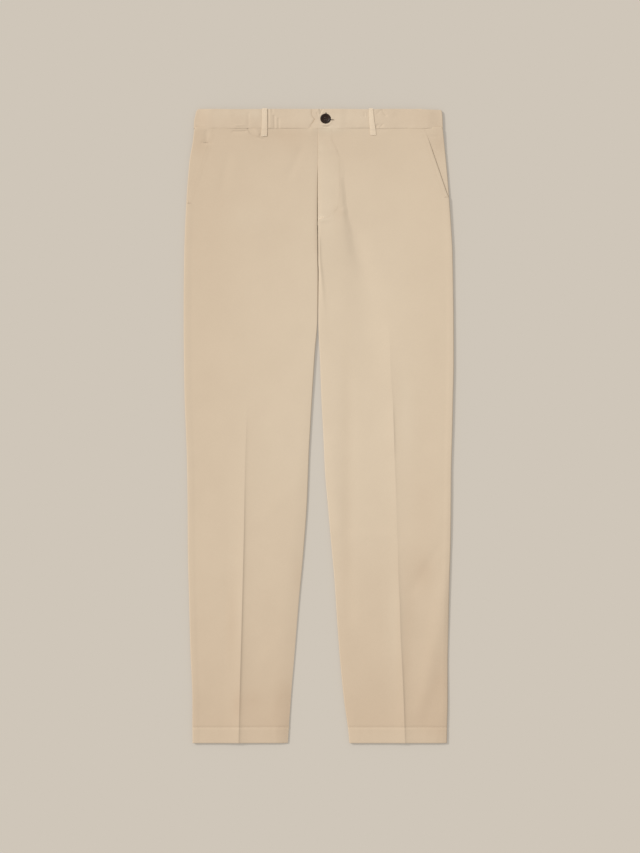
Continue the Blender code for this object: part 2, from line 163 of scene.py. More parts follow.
# pressed crease: down, ridge, sharp fall, soft fall beyond it, its width, height held beyond it.
# Above the crotch on the left leg the same line of the mesh runs along the fly strip's far side.
leftCreaseTable = (
    *((down, x, 0, 0, 7, 0) for down, x in (
        (33, 22.0), (45, 22.8), (54, 24.2), (62, 29.0), (70, 32.3), (80, 37.8), (88, 43.0),
        (100, 44.8), (110, 44.4), (120, 43.4), (129, 44.3), (140, 46.0), (151, 46.5), (161, 47.4),
        (171, 49.6), (181, 50.2), (191, 53.0), (201, 56.3), (215, 57.7), (229, 60.0), (245, 64.0),
        (304, 94.0))),
    (354, 113.0, 0, 0, 7, 0.2), (380, 118.5, 0, 0.15, 7, 0.7), (423, 119.7, 0, 0.3, 7, 0.9),
    (455, 121.3, 0.1, 0.4, 7, 0.7), (488, 124.0, 0.25, 0.45, 6, 0.5),
    (512, 124.8, 0.7, 0.5, 6, 0.5), (545, 126.0, 0.9, 0.5, 6, 0.5),
    (568, 126.6, 0.7, 0.35, 6, 0.6), (590, 127.4, 0.35, 0.4, 7, 0.6),
    (630, 129.0, 0.3, 0.5, 7, 0.6), (681, 130.4, 0.12, 0.5, 7, 0.5),
    (731, 132.1, 0.12, 0.55, 7, 0.3), (781, 133.4, 0.35, 0.9, 8, -0.2),
    (831, 135.6, 0.4, 2.0, 10, -0.7), (881, 137.0, 0.45, 2.2, 10, -0.9),
    (931, 139.6, 0.8, 1.6, 9, -0.8), (981, 141.8, 1.1, 1.4, 8, -0.6),
    (1034, 143.6, 0.9, 1.3, 8, -0.4), (1060, 144.5, 0.6, 1.1, 8, -0.4),
)
rightCreaseTable = (
    (33, -108.0, 0, 0, 7, 0), (354, -112.0, 0, 0, 7, 0), (423, -116.5, 0, 0, 7, 0),
    (505, -119.6, 0.05, 0.1, 5, 0), (540, -120.9, 0.3, 0.3, 5, 0), (609, -122.9, 0.5, 0.5, 6, 0),
    (655, -123.8, 0.85, 0.55, 7, 0), (706, -124.6, 1.15, 0.6, 7, 0), (756, -125.7, 1.3, 0.7, 7, 0),
    (831, -127.6, 1.35, 0.9, 7, 0), (906, -129.6, 1.4, 1.2, 8, -0.3),
    (956, -131.0, 1.3, 1.5, 9, -0.5), (1007, -132.3, 0.95, 1.8, 9, -0.8),
    (1034, -132.9, 0.8, 1.8, 9, -0.8), (1060, -133.4, 0.7, 1.5, 8, -0.6),
)
crease = {"riseWidth": 30.0, "sharpWidth": 1.5, "holdWidth": 70.0, "blunt": 0.35}

# fly strip: down, how far it stands above the cloth beyond it, width of its far side
flyStripTable = (
    (33, 0.0, 4.0), (45, 0.1, 4.0), (54, 0.45, 4.0), (62, 0.5, 4.0), (70, 0.6, 4.5),
    (80, 0.3, 8.0), (88, 0.5, 13.0), (100, 0.8, 15.0), (110, 1.0, 14.0), (120, 1.4, 8.0),
    (129, 1.7, 8.2), (140, 1.9, 9.0), (151, 1.9, 8.5), (161, 2.1, 9.0), (171, 2.4, 9.5),
    (181, 2.2, 9.5), (191, 2.3, 13.0), (201, 2.5, 17.0), (212, 2.3, 18.0), (229, 1.8, 18.0),
    (245, 1.1, 17.0), (270, 0.2, 14.0), (290, 0.0, 12.0), (354, 0.0, 12.0),
)

# the right front goes down below the fly's edge: down, depth, width, flat end
flyDipTable = (
    (33.4, 0.3, 0.08, -0.25), (57, 0.4, 0.1, -0.25), (66, 1.0, 0.1, -0.25), (85, 1.2, 0.12, -0.22),
    (95, 1.1, 0.2, -0.2), (104, 1.0, 0.5, -0.15), (112, 0.85, 1.0, -0.1), (120, 0.7, 1.5, 0.0),
    (137, 0.65, 1.8, 0.0), (154, 0.85, 2.0, 0.0), (171, 0.95, 1.9, 0.0), (187, 0.88, 1.8, 0.0),
    (195, 0.75, 1.5, 0.0), (206, 0.66, 1.3, 0.0), (221, 0.6, 1.1, 0.0), (240, 0.85, 1.2, 0.0),
    (256, 1.0, 1.2, 0.0), (272, 0.85, 0.7, 0.0), (304, 0.9, 1.1, 0.0), (322, 0.6, 1.6, 0.1),
    (354, 0.0, 4.0, 0.5),
)

# soft slope towards an edge: down, width, drop at the inner edge, width, drop at the outer edge
leftSlopeTable = (
    (33, 6, 0, 26, 0.9), (60, 10, 0.25, 24, 0.6), (110, 12, 0.5, 18, 0.2), (165, 10, 0.7, 6, 0),
    (200, 6, 0.45, 6, 0), (240, 5, 0.3, 6, 0), (330, 6, 0.4, 6, 0), (360, 8, 0.4, 6, 0),
    (390, 12, 0.5, 6, 0), (430, 26, 1.1, 6, 0), (622, 34, 1.0, 8, 0.2), (740, 30, 0.8, 12, 0.9),
    (823, 26, 0.7, 15, 2.0), (930, 18, 0.6, 14, 1.4), (1000, 16, 0.5, 14, 1.1),
    (1034, 12, 0.4, 20, 1.6), (1060, 10, 0.3, 20, 1.5),
)
rightSlopeTable = (
    (33, 16, 0.2, 26, 0.3), (50, 14, 0.5, 24, 0.2), (80, 12, 0.65, 20, 0.1), (110, 8, 0.6, 18, 0),
    (125, 7, 0.8, 6, 0), (170, 7.5, 1.05, 6, 0), (200, 8.5, 1.2, 6, 0), (225, 8.5, 1.0, 6, 0),
    (245, 7, 0.75, 6, 0), (270, 6, 0.5, 6, 0), (354, 6, 0.1, 6, 0), (430, 8, 0.2, 6, 0),
    (538, 14, 0.6, 6, 0), (622, 20, 1.1, 6, 0), (740, 24, 1.5, 6, 0), (823, 28, 1.8, 8, 0),
    (930, 32, 2.2, 8, 0), (1000, 30, 2.7, 8, 0), (1034, 24, 2.8, 6, 0), (1060, 22, 2.6, 6, 0),
)

# soft folds, each along its own points: x, down, half width, height
leftFolds = (
    ((218, 770, 14, 0.7), (208, 826, 16, 1.4), (198, 885, 16, 1.5), (184, 945, 14, 1.3),
     (170, 1005, 11, 0.6)),
    ((62, 712, 9, 0.35), (123, 712, 9, 0.35)),
    ((52, 420, 11, -0.2), (51, 470, 12, -0.55), (51, 560, 13, -0.7), (50, 850, 13, -0.6)),
    ((26, 177, 3.0, -0.5), (38, 166, 3.0, -0.5)),
    ((1, 187.5, 3.6, 0.8), (8, 187.5, 3.6, 0.7), (19, 186.5, 3.4, 0.25)),
    ((1.2, 212, 1.4, 0.2), (1.5, 221, 1.7, 0.7), (1.6, 237, 2.0, 0.9), (2.0, 254, 2.4, 1.0),
     (3.6, 271, 2.5, 1.1), (5.2, 288, 2.7, 1.1), (6.8, 304, 2.9, 0.7), (7.5, 321, 3.0, 0.5),
     (11, 346, 3.0, 0.2)),
    ((54, 190, 6, -0.4), (59, 203, 9, -0.9), (63, 217, 12, -1.3), (67, 240, 16, -1.8),
     (75, 290, 22, -1.8), (82, 345, 26, -1.4), (82, 420, 26, -0.8), (80, 520, 26, -0.2)),
    ((20, 560, 12, 0.5), (32, 700, 12, 0.5)),
    ((200, 734, 8, -0.25), (156, 806, 9, -0.45)),
    ((100, 35, 2.5, -0.35), (112, 36, 2.5, -0.35)),
    ((186, 46.5, 1.6, -0.3), (199, 47.5, 1.6, -0.3)),
)
rightFolds = (
    ((-96, 689, 13, 0.3), (-34, 630, 13, 0.3)),
    ((-92, 930, 13, 0.3), (-60, 880, 13, 0.3)),
    ((-118.2, 33.4, 1.15, -1.2), (-116.3, 37, 1.2, -1.2), (-114.3, 40.4, 1.2, -1.2),
     (-112, 43.2, 1.25, -1.2), (-108, 46, 1.3, -1.0), (-103, 48.4, 1.3, -0.9),
     (-97, 50.4, 1.3, -0.9), (-92.5, 51.5, 1.3, -0.5)),
    ((-108, 33.5, 3.8, 0.6), (-103, 39, 4.0, 1.4), (-99.5, 43.5, 4.0, 1.4), (-96.5, 48, 3.5, 0.6)),
    ((-97.6, 44.2, 0.9, -0.9), (-97.4, 47.4, 0.9, -0.9)),
    ((-143, 38.4, 1.2, -0.7), (-121, 38.0, 1.2, -0.9)),
    ((-143, 41.0, 2.4, -0.2), (-121, 40.6, 2.4, -0.25)),
    ((-187, 40, 4.0, -0.6), (-187, 54, 4.0, -0.6)),
    ((-194, 57, 2.6, -0.55), (-180, 57.5, 2.6, -0.55)),
    ((-30, 70, 7, -0.35), (-48, 110, 7, -0.35)),
    ((-150, 80, 9, -0.3), (-160, 130, 9, -0.3)),
)


def makeTracks(outline, creaseTable, slopeTable):
    tables = {
        "outer inner": outline, "ridge sharp soft softWidth hold": creaseTable,
        "innerWidth innerDrop outerWidth outerDrop": slopeTable, "front rest": layerTable,
        "strip stripRamp": flyStripTable, "dip dipRun dipFlat": flyDipTable,
    }
    return {name: track(table, i + 1) for names, table in tables.items()
            for i, name in enumerate(names.split())}


def bounded(folds):
    # each fold's points with the box that it reaches over
    boxes = []
    for points in folds:
        reach = 3 * max(point[2] for point in points)
        xs, downs = [point[0] for point in points], [point[1] for point in points]
        boxes.append((points, min(xs) - reach, max(xs) + reach,
                      min(downs) - reach, max(downs) + reach))
    return boxes


legs = {
    "left": {"side": 1, "tracks": makeTracks(leftTable, leftCreaseTable, leftSlopeTable),
             "folds": bounded(leftFolds), "pocketEnd": 152.0, "mouthStart": 177.3,
             "mouthSlope": 0.342, "facingOutside": 1.35, "mouthLip": 0.75, "mouthRim": 0.32,
             "tacks": ((148.0, 6.3, 0.8),)},
    "right": {"side": -1, "tracks": makeTracks(rightTable, rightCreaseTable, rightSlopeTable),
              "folds": bounded(rightFolds), "pocketEnd": 162.0, "mouthStart": 178.0,
              "mouthSlope": 0.333, "facingOutside": 0.1, "mouthLip": 0.1, "mouthRim": 0.0,
              "tacks": ((57.0, 1.0, -6.5), (158.0, 6.3, 0.8))},
}
pocket = {
    "closing": 10.0, "step": 0.85, "openFrom": 38.0, "openTo": 72.0,
    "flatLip": 0.1, "rimInset": 0.6, "rimWidth": 1.3,
    # the facing goes in below the front's closed edge under the mouth
    "hideFrom": 7.0, "hideTo": 2.0, "hidden": 1.2, "closedStep": 1.5, "seamRoom": 0.15,
    "outerWidth": 1.4, "stepSpan": (-1.5, -0.5),
    # its columns start below the front and stand close at the mouth: how far beside the mouth,
    # room kept to the side seam, columns up to the next place
    "columns": ((-12.0, 8.0, 10), (-1.8, 5.4, 12), (0.6, 3.0, 24)),
}


@lru_cache(maxsize=None)
def sectionAt(leg, down):
    row = {name: valueAt(down) for name, valueAt in legs[leg]["tracks"].items()}
    row["seam"] = (row["front"] + row["rest"]) / 2
    row["apart"] = ease(trousers["crotch"], trousers["fork"], down)
    end = legs[leg]["pocketEnd"]
    row["closed"] = ease(end - pocket["closing"], end, down)
    mouth = legs[leg]["mouthStart"] + legs[leg]["mouthSlope"] * (down - trousers["bandDepth"])
    row["mouth"] = legs[leg]["side"] * mouth
    row["opened"] = ease(pocket["openFrom"], pocket["openTo"], down)
    row["lip"] = between(pocket["flatLip"], legs[leg]["mouthLip"], row["opened"])
    row["down"] = down
    return row


def creaseHeight(leg, row, x):
    t = x - row["ridge"]
    if t > 0:
        far = math.sqrt(t * t + crease["blunt"]**2) - crease["blunt"]
        height = row["sharp"] * math.exp(-far / crease["sharpWidth"])
        height += row["soft"] * math.exp(-far / row["softWidth"])
        height += row["hold"] * math.exp(-far / crease["holdWidth"])
    else:
        total = row["sharp"] + row["soft"] + row["hold"]
        height = total * max(0.0, 1 + t / crease["riseWidth"])**2
    if leg == "left" and t < 0:
        share = min(1.0, -t / row["stripRamp"])
        height += row["strip"] * (share - 0.05 * math.sin(2 * math.pi * share))
    return height


def foldHeight(folds, x, down):
    total = 0.0
    for points, lowX, highX, lowDown, highDown in folds:
        if not (lowX < x < highX and lowDown < down < highDown):
            continue
        nearest = None
        for (x1, down1, width1, height1), (x2, down2, width2, height2) in zip(points, points[1:]):
            runX, runDown = x2 - x1, down2 - down1
            share = ((x - x1) * runX + (down - down1) * runDown) / (runX**2 + runDown**2)
            share = min(1.0, max(0.0, share))
            away = (x - x1 - runX * share)**2 + (down - down1 - runDown * share)**2
            if nearest is None or away < nearest[0]:
                nearest = (away, between(width1, width2, share), between(height1, height2, share))
        away, width, height = nearest
        if away < 9 * width**2:
            total += height * math.exp(-away / width**2)
    return total


def hemStitchDown(x):
    return trousers["outseam"] - trousers["hemDepth"] + waves("hemLine", x)


# how plainly the waist seam shows, from one side of the trousers to the other
seamGroove = track((
    (-205, 0.2), (-181, 0.2), (-175, 0.8), (-163, 0.3), (-145, 0.4), (-138, 0.8), (-121, 0.9),
    (-111, 0.5), (-98, 0.7), (-81, 0.9), (-64, 0.7), (-48, 0.9), (-31, 0.9), (-18, 0.3),
    (-11, 0.0), (46, 0.0), (53, 0.8), (79, 1.0), (92, 0.8), (104, 0.4), (118, 0.4), (126, 0.8),
    (147, 0.7), (153, 0.3), (172, 0.2), (178, 0.8), (188, 0.7), (192, 0.0), (211, 0.0),
), 1)


def lapLift(x):
    # the overlap lifts the band and the cloth just below it
    own = 1 - ease(band["liftEnd"], band["liftStart"], x)
    return band["overlapLift"] * own * ease(-15.0, -12.5, x)


puckers = {
    "waistEnd": 40.0, "waistReach": 9.0, "seamRise": 0.45, "seamReach": 6.0, "grooved": 0.6,
    "lapReach": 8.0, "hemStart": 990.0, "stitchDip": 0.7, "stitchWidth": 1.6, "hemMiddle": 4.0,
    "hemReach": 9.0,
}


def unevenness(x, down):
    # slow waves all over, small puckers along the waist seam and the hem's stitching
    height = waves("cloth", x, down)
    nearBand = max(0.0, down - trousers["bandDepth"])
    if nearBand < puckers["waistEnd"]:
        height += waves("waistPuckers", x, down) * math.exp(-nearBand / puckers["waistReach"])
        rise = puckers["seamRise"] * (1 - puckers["grooved"] * seamGroove(x))
        height += rise * math.exp(-nearBand / puckers["seamReach"])
        height += lapLift(x) * math.exp(-(nearBand / puckers["lapReach"])**2)
    if down > puckers["hemStart"]:
        away = down - hemStitchDown(x)
        height -= puckers["stitchDip"] * math.exp(-(away / puckers["stitchWidth"])**2)
        fade = math.exp(-abs(away - puckers["hemMiddle"]) / puckers["hemReach"])
        height += waves("hemPuckers", x, down) * fade
    return height


def faceHeight(leg, x, down):
    # height of a front's face, away from its rolled edges
    row = sectionAt(leg, down)
    side = legs[leg]["side"]
    height = row["front"] + creaseHeight(leg, row, x)
    height += foldHeight(legs[leg]["folds"], x, down) + unevenness(x, down)
    fromInner = max(0.0, (x - row["inner"]) * side)
    fromOuter = max(0.0, (row["outer"] - x) * side)
    height -= row["innerDrop"] * max(0.0, 1 - fromInner / row["innerWidth"])**2
    height -= row["outerDrop"] * max(0.0, 1 - fromOuter / row["outerWidth"])**2
    below = 1 - ease(*trousers["allowance"], fromOuter)     # the seam allowance
    height += trousers["allowanceRise"] * row["closed"] * below
    if leg == "right":
        centre = trousers["centre"]
        height -= row["dip"] * ease(centre - row["dipRun"], centre - row["dipFlat"], x)
    return height


# ---- meshes from rows of points

curlSteps = 7


def edgeCurl(edge, inward, width, drop, lowest, sewnShare=1.0):
    # points from an edge's lowest point up to the face: x, fall below the face, and how far the
    # point is held at the seam's own height
    points = []
    for angle in evenly(lowest, 90, curlSteps):
        turn = math.radians(angle)
        fall = 1 - math.sin(turn)
        points.append((edge + inward * width * (1 - math.cos(turn)), drop * fall,
                       min(1.0, fall) * sewnShare))
    return points


# beside the fly's edge the right front has close columns, out from the centre line
slotOffsets = (4.0, 1.6, 0.6, 0.25, 0.0, -0.15, -0.4, -0.9, -1.5, -2.1, -2.7, -3.6, -5.2, -7.5)
# columns between the crease and each edge, then their places on its gentle and steep sides
panelSteps = {"left": (24, 36), "right": (30, 30)}
columns = {"reach": (30.0, 26.0), "evenReach": (17.0, 14.0), "evenTo": (62, 110), "crowd": 1.4,
           "mostly": 0.75, "slotStep": 0.6}
gentleShares = (1.0, 0.66, 0.44, 0.31, 0.235, 0.165, 0.1, 0.035)
steepShares = (0.015, 0.035, 0.06, 0.09, 0.13, 0.18, 0.25, 0.34, 0.46, 0.62, 0.8, 1.0)
# rolled edges: from pressed together to apart, and from an open mouth to the closed seam
roll = {"innerWidth": (1.0, 1.5), "innerDrop": 1.0, "innerAngle": (-60, 0),
        "outerWidth": (0.5, 1.4), "lipSpan": (0.1, 0.7), "lipAngle": (10.0, -60.0)}


def panelColumns(leg, row):
    # across a front from its inner edge outwards: x, fall below the face, share held at the seam
    side, apart, closed = legs[leg]["side"], row["apart"], row["closed"]
    lapShare = 0.0
    if leg == "right":
        lapShare = 1 - ease(trousers["flyEnd"], trousers["lapEnd"], row["down"])
    drop = row["front"] - row["seam"]
    innerX = row["inner"] + trousers["underFly"] * lapShare
    inner = edgeCurl(innerX, side, between(*roll["innerWidth"], apart),
                     between(roll["innerDrop"], drop, apart),
                     between(*roll["innerAngle"], apart), apart)
    outerX = between(row["mouth"], row["outer"], closed)
    # an edge that lies flat isn't rolled under, so that its wall stays below the face
    rolled = between(*roll["lipAngle"], ease(*roll["lipSpan"], row["lip"]))
    outer = edgeCurl(outerX, -side, between(*roll["outerWidth"], closed),
                     between(row["lip"], drop, closed), between(rolled, 0, closed), closed)
    start, end, ridge = inner[-1][0], outer[-1][0], row["ridge"]
    xs = []
    if leg == "right":
        for k, offset in enumerate(slotOffsets):
            plain = start + side * (k + 1) * columns["slotStep"]
            xs.append(between(plain, trousers["centre"] + offset, lapShare))
        start = xs[-1]
    if side > 0:
        nearShares, farShares = gentleShares, steepShares
        reach, crowd = columns["reach"], columns["crowd"]
    else:
        # the steep side of the crease faces the wearer's left on both legs. Below the waist the
        # columns stand evenly, close enough for the small folds there
        even = 1 - ease(*columns["evenTo"], row["down"])
        nearShares = [between(share, place, even)
                      for share, place in zip(steepShares[::-1], evenly(1, 1 / 12, 12))]
        farShares = [between(share, place, even)
                     for share, place in zip(gentleShares[::-1], evenly(1 / 8, 1, 8))]
        reach = [between(*ends, even) for ends in zip(columns["reach"], columns["evenReach"])]
        crowd = 1.0
    before = min(reach[0], columns["mostly"] * abs(ridge - start)) * side
    after = min(reach[1], columns["mostly"] * abs(end - ridge)) * side
    steps = panelSteps[leg]
    xs += crowded(start, ridge - before, steps[0] + 1, crowd)[1:-1]
    xs += [ridge - before * share for share in nearShares]
    xs.append(ridge)
    xs += [ridge + after * share for share in farShares]
    xs += evenly(ridge + after, end, steps[1] + 1)[1:-1]
    across = inner + [(x, 0.0, 0.0) for x in xs] + outer[::-1]
    return across if side > 0 else across[::-1]


def heldAtSeam(face, row, fall, share):
    # a point's height, where folds and waves die away towards a seam
    return row["front"] + (face - row["front"]) * (1 - share) - fall


def panelDowns(leg):
    end = legs[leg]["pocketEnd"]
    stretches = (
        (36.5, 62, 24), (62, end - 8, 26), (end - 8, end + 2, 10), (end + 2, 230, 44),
        (230, trousers["hemRows"], 210), (trousers["hemRows"], trousers["lastRow"], 30),
    )
    downs = [31.0, 32.5, 33.1, 33.25, 33.4, 33.55, 33.7, 33.9, 34.2, 34.7, 35.5, 36.5]
    for start, stop, count in stretches:
        downs += evenly(start, stop, count + 1)[1:]
    return downs


def placed(x, down, height):
    return x * mm, (trousers["outseam"] / 2 - down) * mm, height * mm


def meshOf(grid, name):
    mesh = bpy.data.meshes.new(name)
    grid.to_mesh(mesh)
    grid.free()
    return mesh


def addObject(name, data):
    item = bpy.data.objects.new(name, data)
    scene.collection.objects.link(item)
    return item


def keepShape(item):
    # what the modifiers make becomes the item's plain mesh
    shape = bpy.data.meshes.new_from_object(
        item.evaluated_get(bpy.context.evaluated_depsgraph_get()))
    item.modifiers.clear()
    item.data = shape


def clothMesh(name, rows, ridgeAt, facingUp):
    # rows of points from the hem upwards, each (x, down, height, tone); the weave's own map
    # runs along the cloth from the column ridgeAt
    grid = bmesh.new()
    weave = grid.loops.layers.uv.new("weave")
    tone = grid.verts.layers.float.new("tone")
    verts, maps = [], []
    alongDone = [0.0] * len(rows[0])
    for j, points in enumerate(rows):
        line, run = [], [0.0]
        for i, (x, down, height, shade) in enumerate(points):
            vert = grid.verts.new(placed(x, down, height))
            vert[tone] = shade
            line.append(vert)
            if i:
                run.append(run[-1] + math.dist(points[i][:3], points[i - 1][:3]))
            if j:
                alongDone[i] += math.dist(points[i][:3], rows[j - 1][i][:3])
        verts.append(line)
        maps.append([((u - run[ridgeAt]) * mm, alongDone[ridgeAt] * mm) for u in run])
    for j in range(len(rows) - 1):
        for i in range(len(rows[0]) - 1):
            corners = [(j, i), (j, i + 1), (j + 1, i + 1), (j + 1, i)]
            if not facingUp:
                corners.reverse()
            face = grid.faces.new([verts[a][b] for a, b in corners])
            face.smooth = True
            for corner, (a, b) in zip(face.loops, corners):
                corner[weave].uv = maps[a][b]
    return meshOf(grid, name)


def flatCut(rows):
    # flat width, length and area of a piece in metres, from its rows of points
    widths = [sum(math.dist(a[:3], b[:3]) for a, b in zip(row, row[1:])) for row in rows]
    middle = len(rows[0]) // 2
    lengths = [math.dist(a[middle][1:3], b[middle][1:3]) for a, b in zip(rows, rows[1:])]
    area = sum(step * (a + b) / 2 for step, a, b in zip(lengths, widths, widths[1:]))
    return max(widths) * mm, sum(lengths) * mm, area * mm * mm


made = {}
rim = {"width": 0.2, "steps": 2, "angle": 62.0}


def bevel(piece, width, angle):
    rounded = piece.modifiers.new("rim", "BEVEL")
    rounded.width = width * mm
    rounded.segments = rim["steps"]
    rounded.limit_method = "ANGLE"
    rounded.angle_limit = math.radians(angle)
    return rounded


def addCloth(solid, rows, finish, wall, slotName, rests=(), held="laid", ridgeAt=None,
             facingUp=True, roundRim=rim["width"]):
    # a piece of cloth in the place of one solid
    if ridgeAt is None:
        ridgeAt = len(rows[0]) // 2
    name = solid + "_twill"
    piece = addObject(name, clothMesh(name, rows, ridgeAt, facingUp))
    piece.data.materials.append(finishes[finish])
    thickness = piece.modifiers.new("wall", "SOLIDIFY")
    thickness.thickness = wall * mm
    thickness.offset = -1.0
    thickness.use_even_offset = facingUp
    bevel(piece, roundRim, rim["angle"]).harden_normals = False
    made[solid] = {"piece": piece, "cut": flatCut(rows), "held": held, "slot": slotName,
                   "rests": rests, "with": []}


# painted light and shade over the cloth, mostly standing in for the light's falloff and for the
# light and shade beside folds, creases, pockets and the fly, partly uneven garment dye: x, down,
# half width, half length, paler or deeper
paintedShadePatches = (
    (45, 400, 190, 270, 0.24), (140, 240, 120, 170, 0.08), (-210, 110, 110, 170, -0.13),
    (-195, 420, 60, 380, -0.05), (-30, 62, 130, 34, -0.10), (12, 150, 15, 85, 0.18),
    (28, 14, 60, 18, 0.22), (190, 14, 30, 20, -0.15), (-80, 42, 110, 14, -0.10),
    (75, 640, 80, 130, 0.10), (-60, 570, 50, 60, 0.08), (150, 1050, 90, 14, 0.10),
    (-70, 1020, 22, 40, -0.08), (205, 960, 40, 130, -0.13), (-198, 62, 17, 15, -0.22),
    (-204, 42, 13, 10, -0.12), (-54, 42, 34, 10, -0.12), (-104, 7, 11, 10, 0.18),
    (5, 7, 12, 9, 0.14), (203, 58, 17, 26, -0.22), (150, 850, 14, 60, -0.12),
    (160, 770, 35, 50, -0.12), (195, 1000, 30, 40, -0.15), (-145, 856, 10, 55, -0.18),
    (-112, 990, 18, 22, -0.15), (46, 625, 10, 220, -0.11), (-34, 776, 9, 26, -0.14),
    (-54, 1006, 14, 34, -0.22), (-135, 993, 8, 20, -0.18), (176, 776, 16, 28, -0.18),
    (146, 926, 8, 45, -0.14), (176, 665, 20, 60, -0.10), (146, 510, 13, 70, 0.14),
    (-130, 7, 35, 9, 0.14), (16, 6, 20, 6, -0.14), (-44, 57, 26, 16, -0.10),
    (-195, 18, 16, 12, -0.13), (-170, 12, 14, 16, 0.13), (4, 182, 6, 5, 0.25),
    (-120, 180, 34, 26, 0.12), (-58, 990, 16, 60, -0.10), (126, 860, 12, 90, 0.12),
    (-4, 13, 6, 15, -0.26), (20, 35, 25, 7, 0.25), (4, 66, 6, 14, 0.12), (35, 174, 8, 9, -0.16),
    (206, 1000, 14, 60, -0.14),
)
# painted shade for the light's falloff, darker towards the hems, and a paler band on the doubled
# turn-ups
paintedShade = {"middle": 0.5, "towardsHem": -0.42, "hemStart": 640.0, "hemEnd": 1040.0, "turnUp": 0.18,
       "turnUpSpan": (1031.0, 1035.5)}


def paintedShadeAt(x, down):
    # 0 is the deepest painted shade on the cloth and 1 the palest painted light
    lower = max(0.0, (down - paintedShade["hemStart"]) / (paintedShade["hemEnd"] - paintedShade["hemStart"]))
    shade = paintedShade["middle"] + paintedShade["towardsHem"] * min(1.0, lower**2.2)
    shade += paintedShade["turnUp"] * ease(*paintedShade["turnUpSpan"], down)
    for patchX, patchDown, width, length, change in paintedShadePatches:
        away = ((x - patchX) / width)**2 + ((down - patchDown) / length)**2
        if away < 6:
            shade += change * math.exp(-away)
    return min(1.0, max(0.0, shade))


# ---- finishes

class Wire:
    # a socket that plain sums can be written with
    def __init__(self, finish, socket):
        self.finish = finish
        self.socket = socket

    def join(self, kind, *values):
        return self.finish.node("ShaderNodeMath", {"operation": kind}, dict(enumerate(values)))

    def __add__(self, other):
        return self.join("ADD", self, other)

    def __radd__(self, other):
        return self.join("ADD", other, self)

    def __sub__(self, other):
        return self.join("SUBTRACT", self, other)

    def __mul__(self, other):
        return self.join("MULTIPLY", self, other)

    def sine(self):
        return self.join("SINE", self)


class Finish:
    def __init__(self, name):
        self.material = bpy.data.materials.new(name)
        self.material.use_nodes = True
        self.tree = self.material.node_tree
        self.tree.nodes.clear()
        self.place = self.node("ShaderNodeTexCoord", out="Object")

    def node(self, kind, settings=None, sockets=None, out=0):
        item = self.tree.nodes.new(kind)
        for key, value in (settings or {}).items():
            if key == "stops":
                for stop, (place, colour) in zip(item.color_ramp.elements, value):
                    stop.position = place
                    stop.color = colour
            else:
                setattr(item, key, value)
        for key, value in (sockets or {}).items():
            socket = item.inputs[key]
            if isinstance(value, Wire):
                self.tree.links.new(value.socket, socket)
            else:
                socket.default_value = value
        return Wire(self, item.outputs[out]) if item.outputs else None

    def noise(self, vector, scale, detail=2.0, roughness=0.5):
        return self.node("ShaderNodeTexNoise", {}, {
            "Vector": vector, "Scale": scale, "Detail": detail, "Roughness": roughness})

    def stretched(self, vector, size):
        return self.node("ShaderNodeVectorMath", {"operation": "MULTIPLY"}, {0: vector, 1: size})

    def scaled(self, colour, factor):
        return self.node("ShaderNodeVectorMath", {"operation": "SCALE"},
                         {0: colour, "Scale": factor})

    def bump(self, strength, distance, height):
        return self.node("ShaderNodeBump", {}, {
            "Strength": strength, "Distance": distance, "Height": height})

    def surface(self, sockets):
        shader = self.node("ShaderNodeBsdfPrincipled", {}, sockets)
        self.node("ShaderNodeOutputMaterial", {}, {"Surface": shader})
        return self.material


twill = {
    "pitch": 0.00062,       # metres from one twill line to the next, across the cloth
    "floatPitch": 0.72,     # share of it for the finer lines across them
    "lean": 0.9,            # how far the lines lean over
    "lineDepth": 0.00006,
    "yarnStretch": 0.055, "warpScale": 2600.0, "weftScale": 2200.0, "driftScale": 900.0,
    "speckleScale": 1300.0, "mottleScale": 14.0,
    "slub": 0.072,          # strength of thicker and thinner yarns in the colour
    "mottle": 0.048,        # slow colour changes of garment-dyed cotton
    "speckle": 0.105,
    "roughness": 0.86,
    "sheen": 0.12,
    "deepest": (0.900, 0.852, 0.806),
    "palest": (1.085, 1.115, 1.120),
}
colours = {
    "cloth": (0.530, 0.424, 0.311),
    "band": (0.530, 0.424, 0.313),
    # the loops' twill is paler than the cloth: painted light for their lit faces
    "loop": (0.602, 0.488, 0.363),
    "inner": (0.500, 0.392, 0.284),
    "thread": (0.560, 0.448, 0.325),
    "loopThread": (0.760, 0.640, 0.490),
    "holeThread": (0.620, 0.505, 0.380),
    # dark thread, also laid in the buttonhole as painted shade for its slit
    "buttonThread": (0.030, 0.020, 0.014),
    "button": (0.011, 0.005, 0.0026),
    "floor": (0.294, 0.2655, 0.228),
    "floorGlow": (0.2555, 0.2315, 0.199),
}


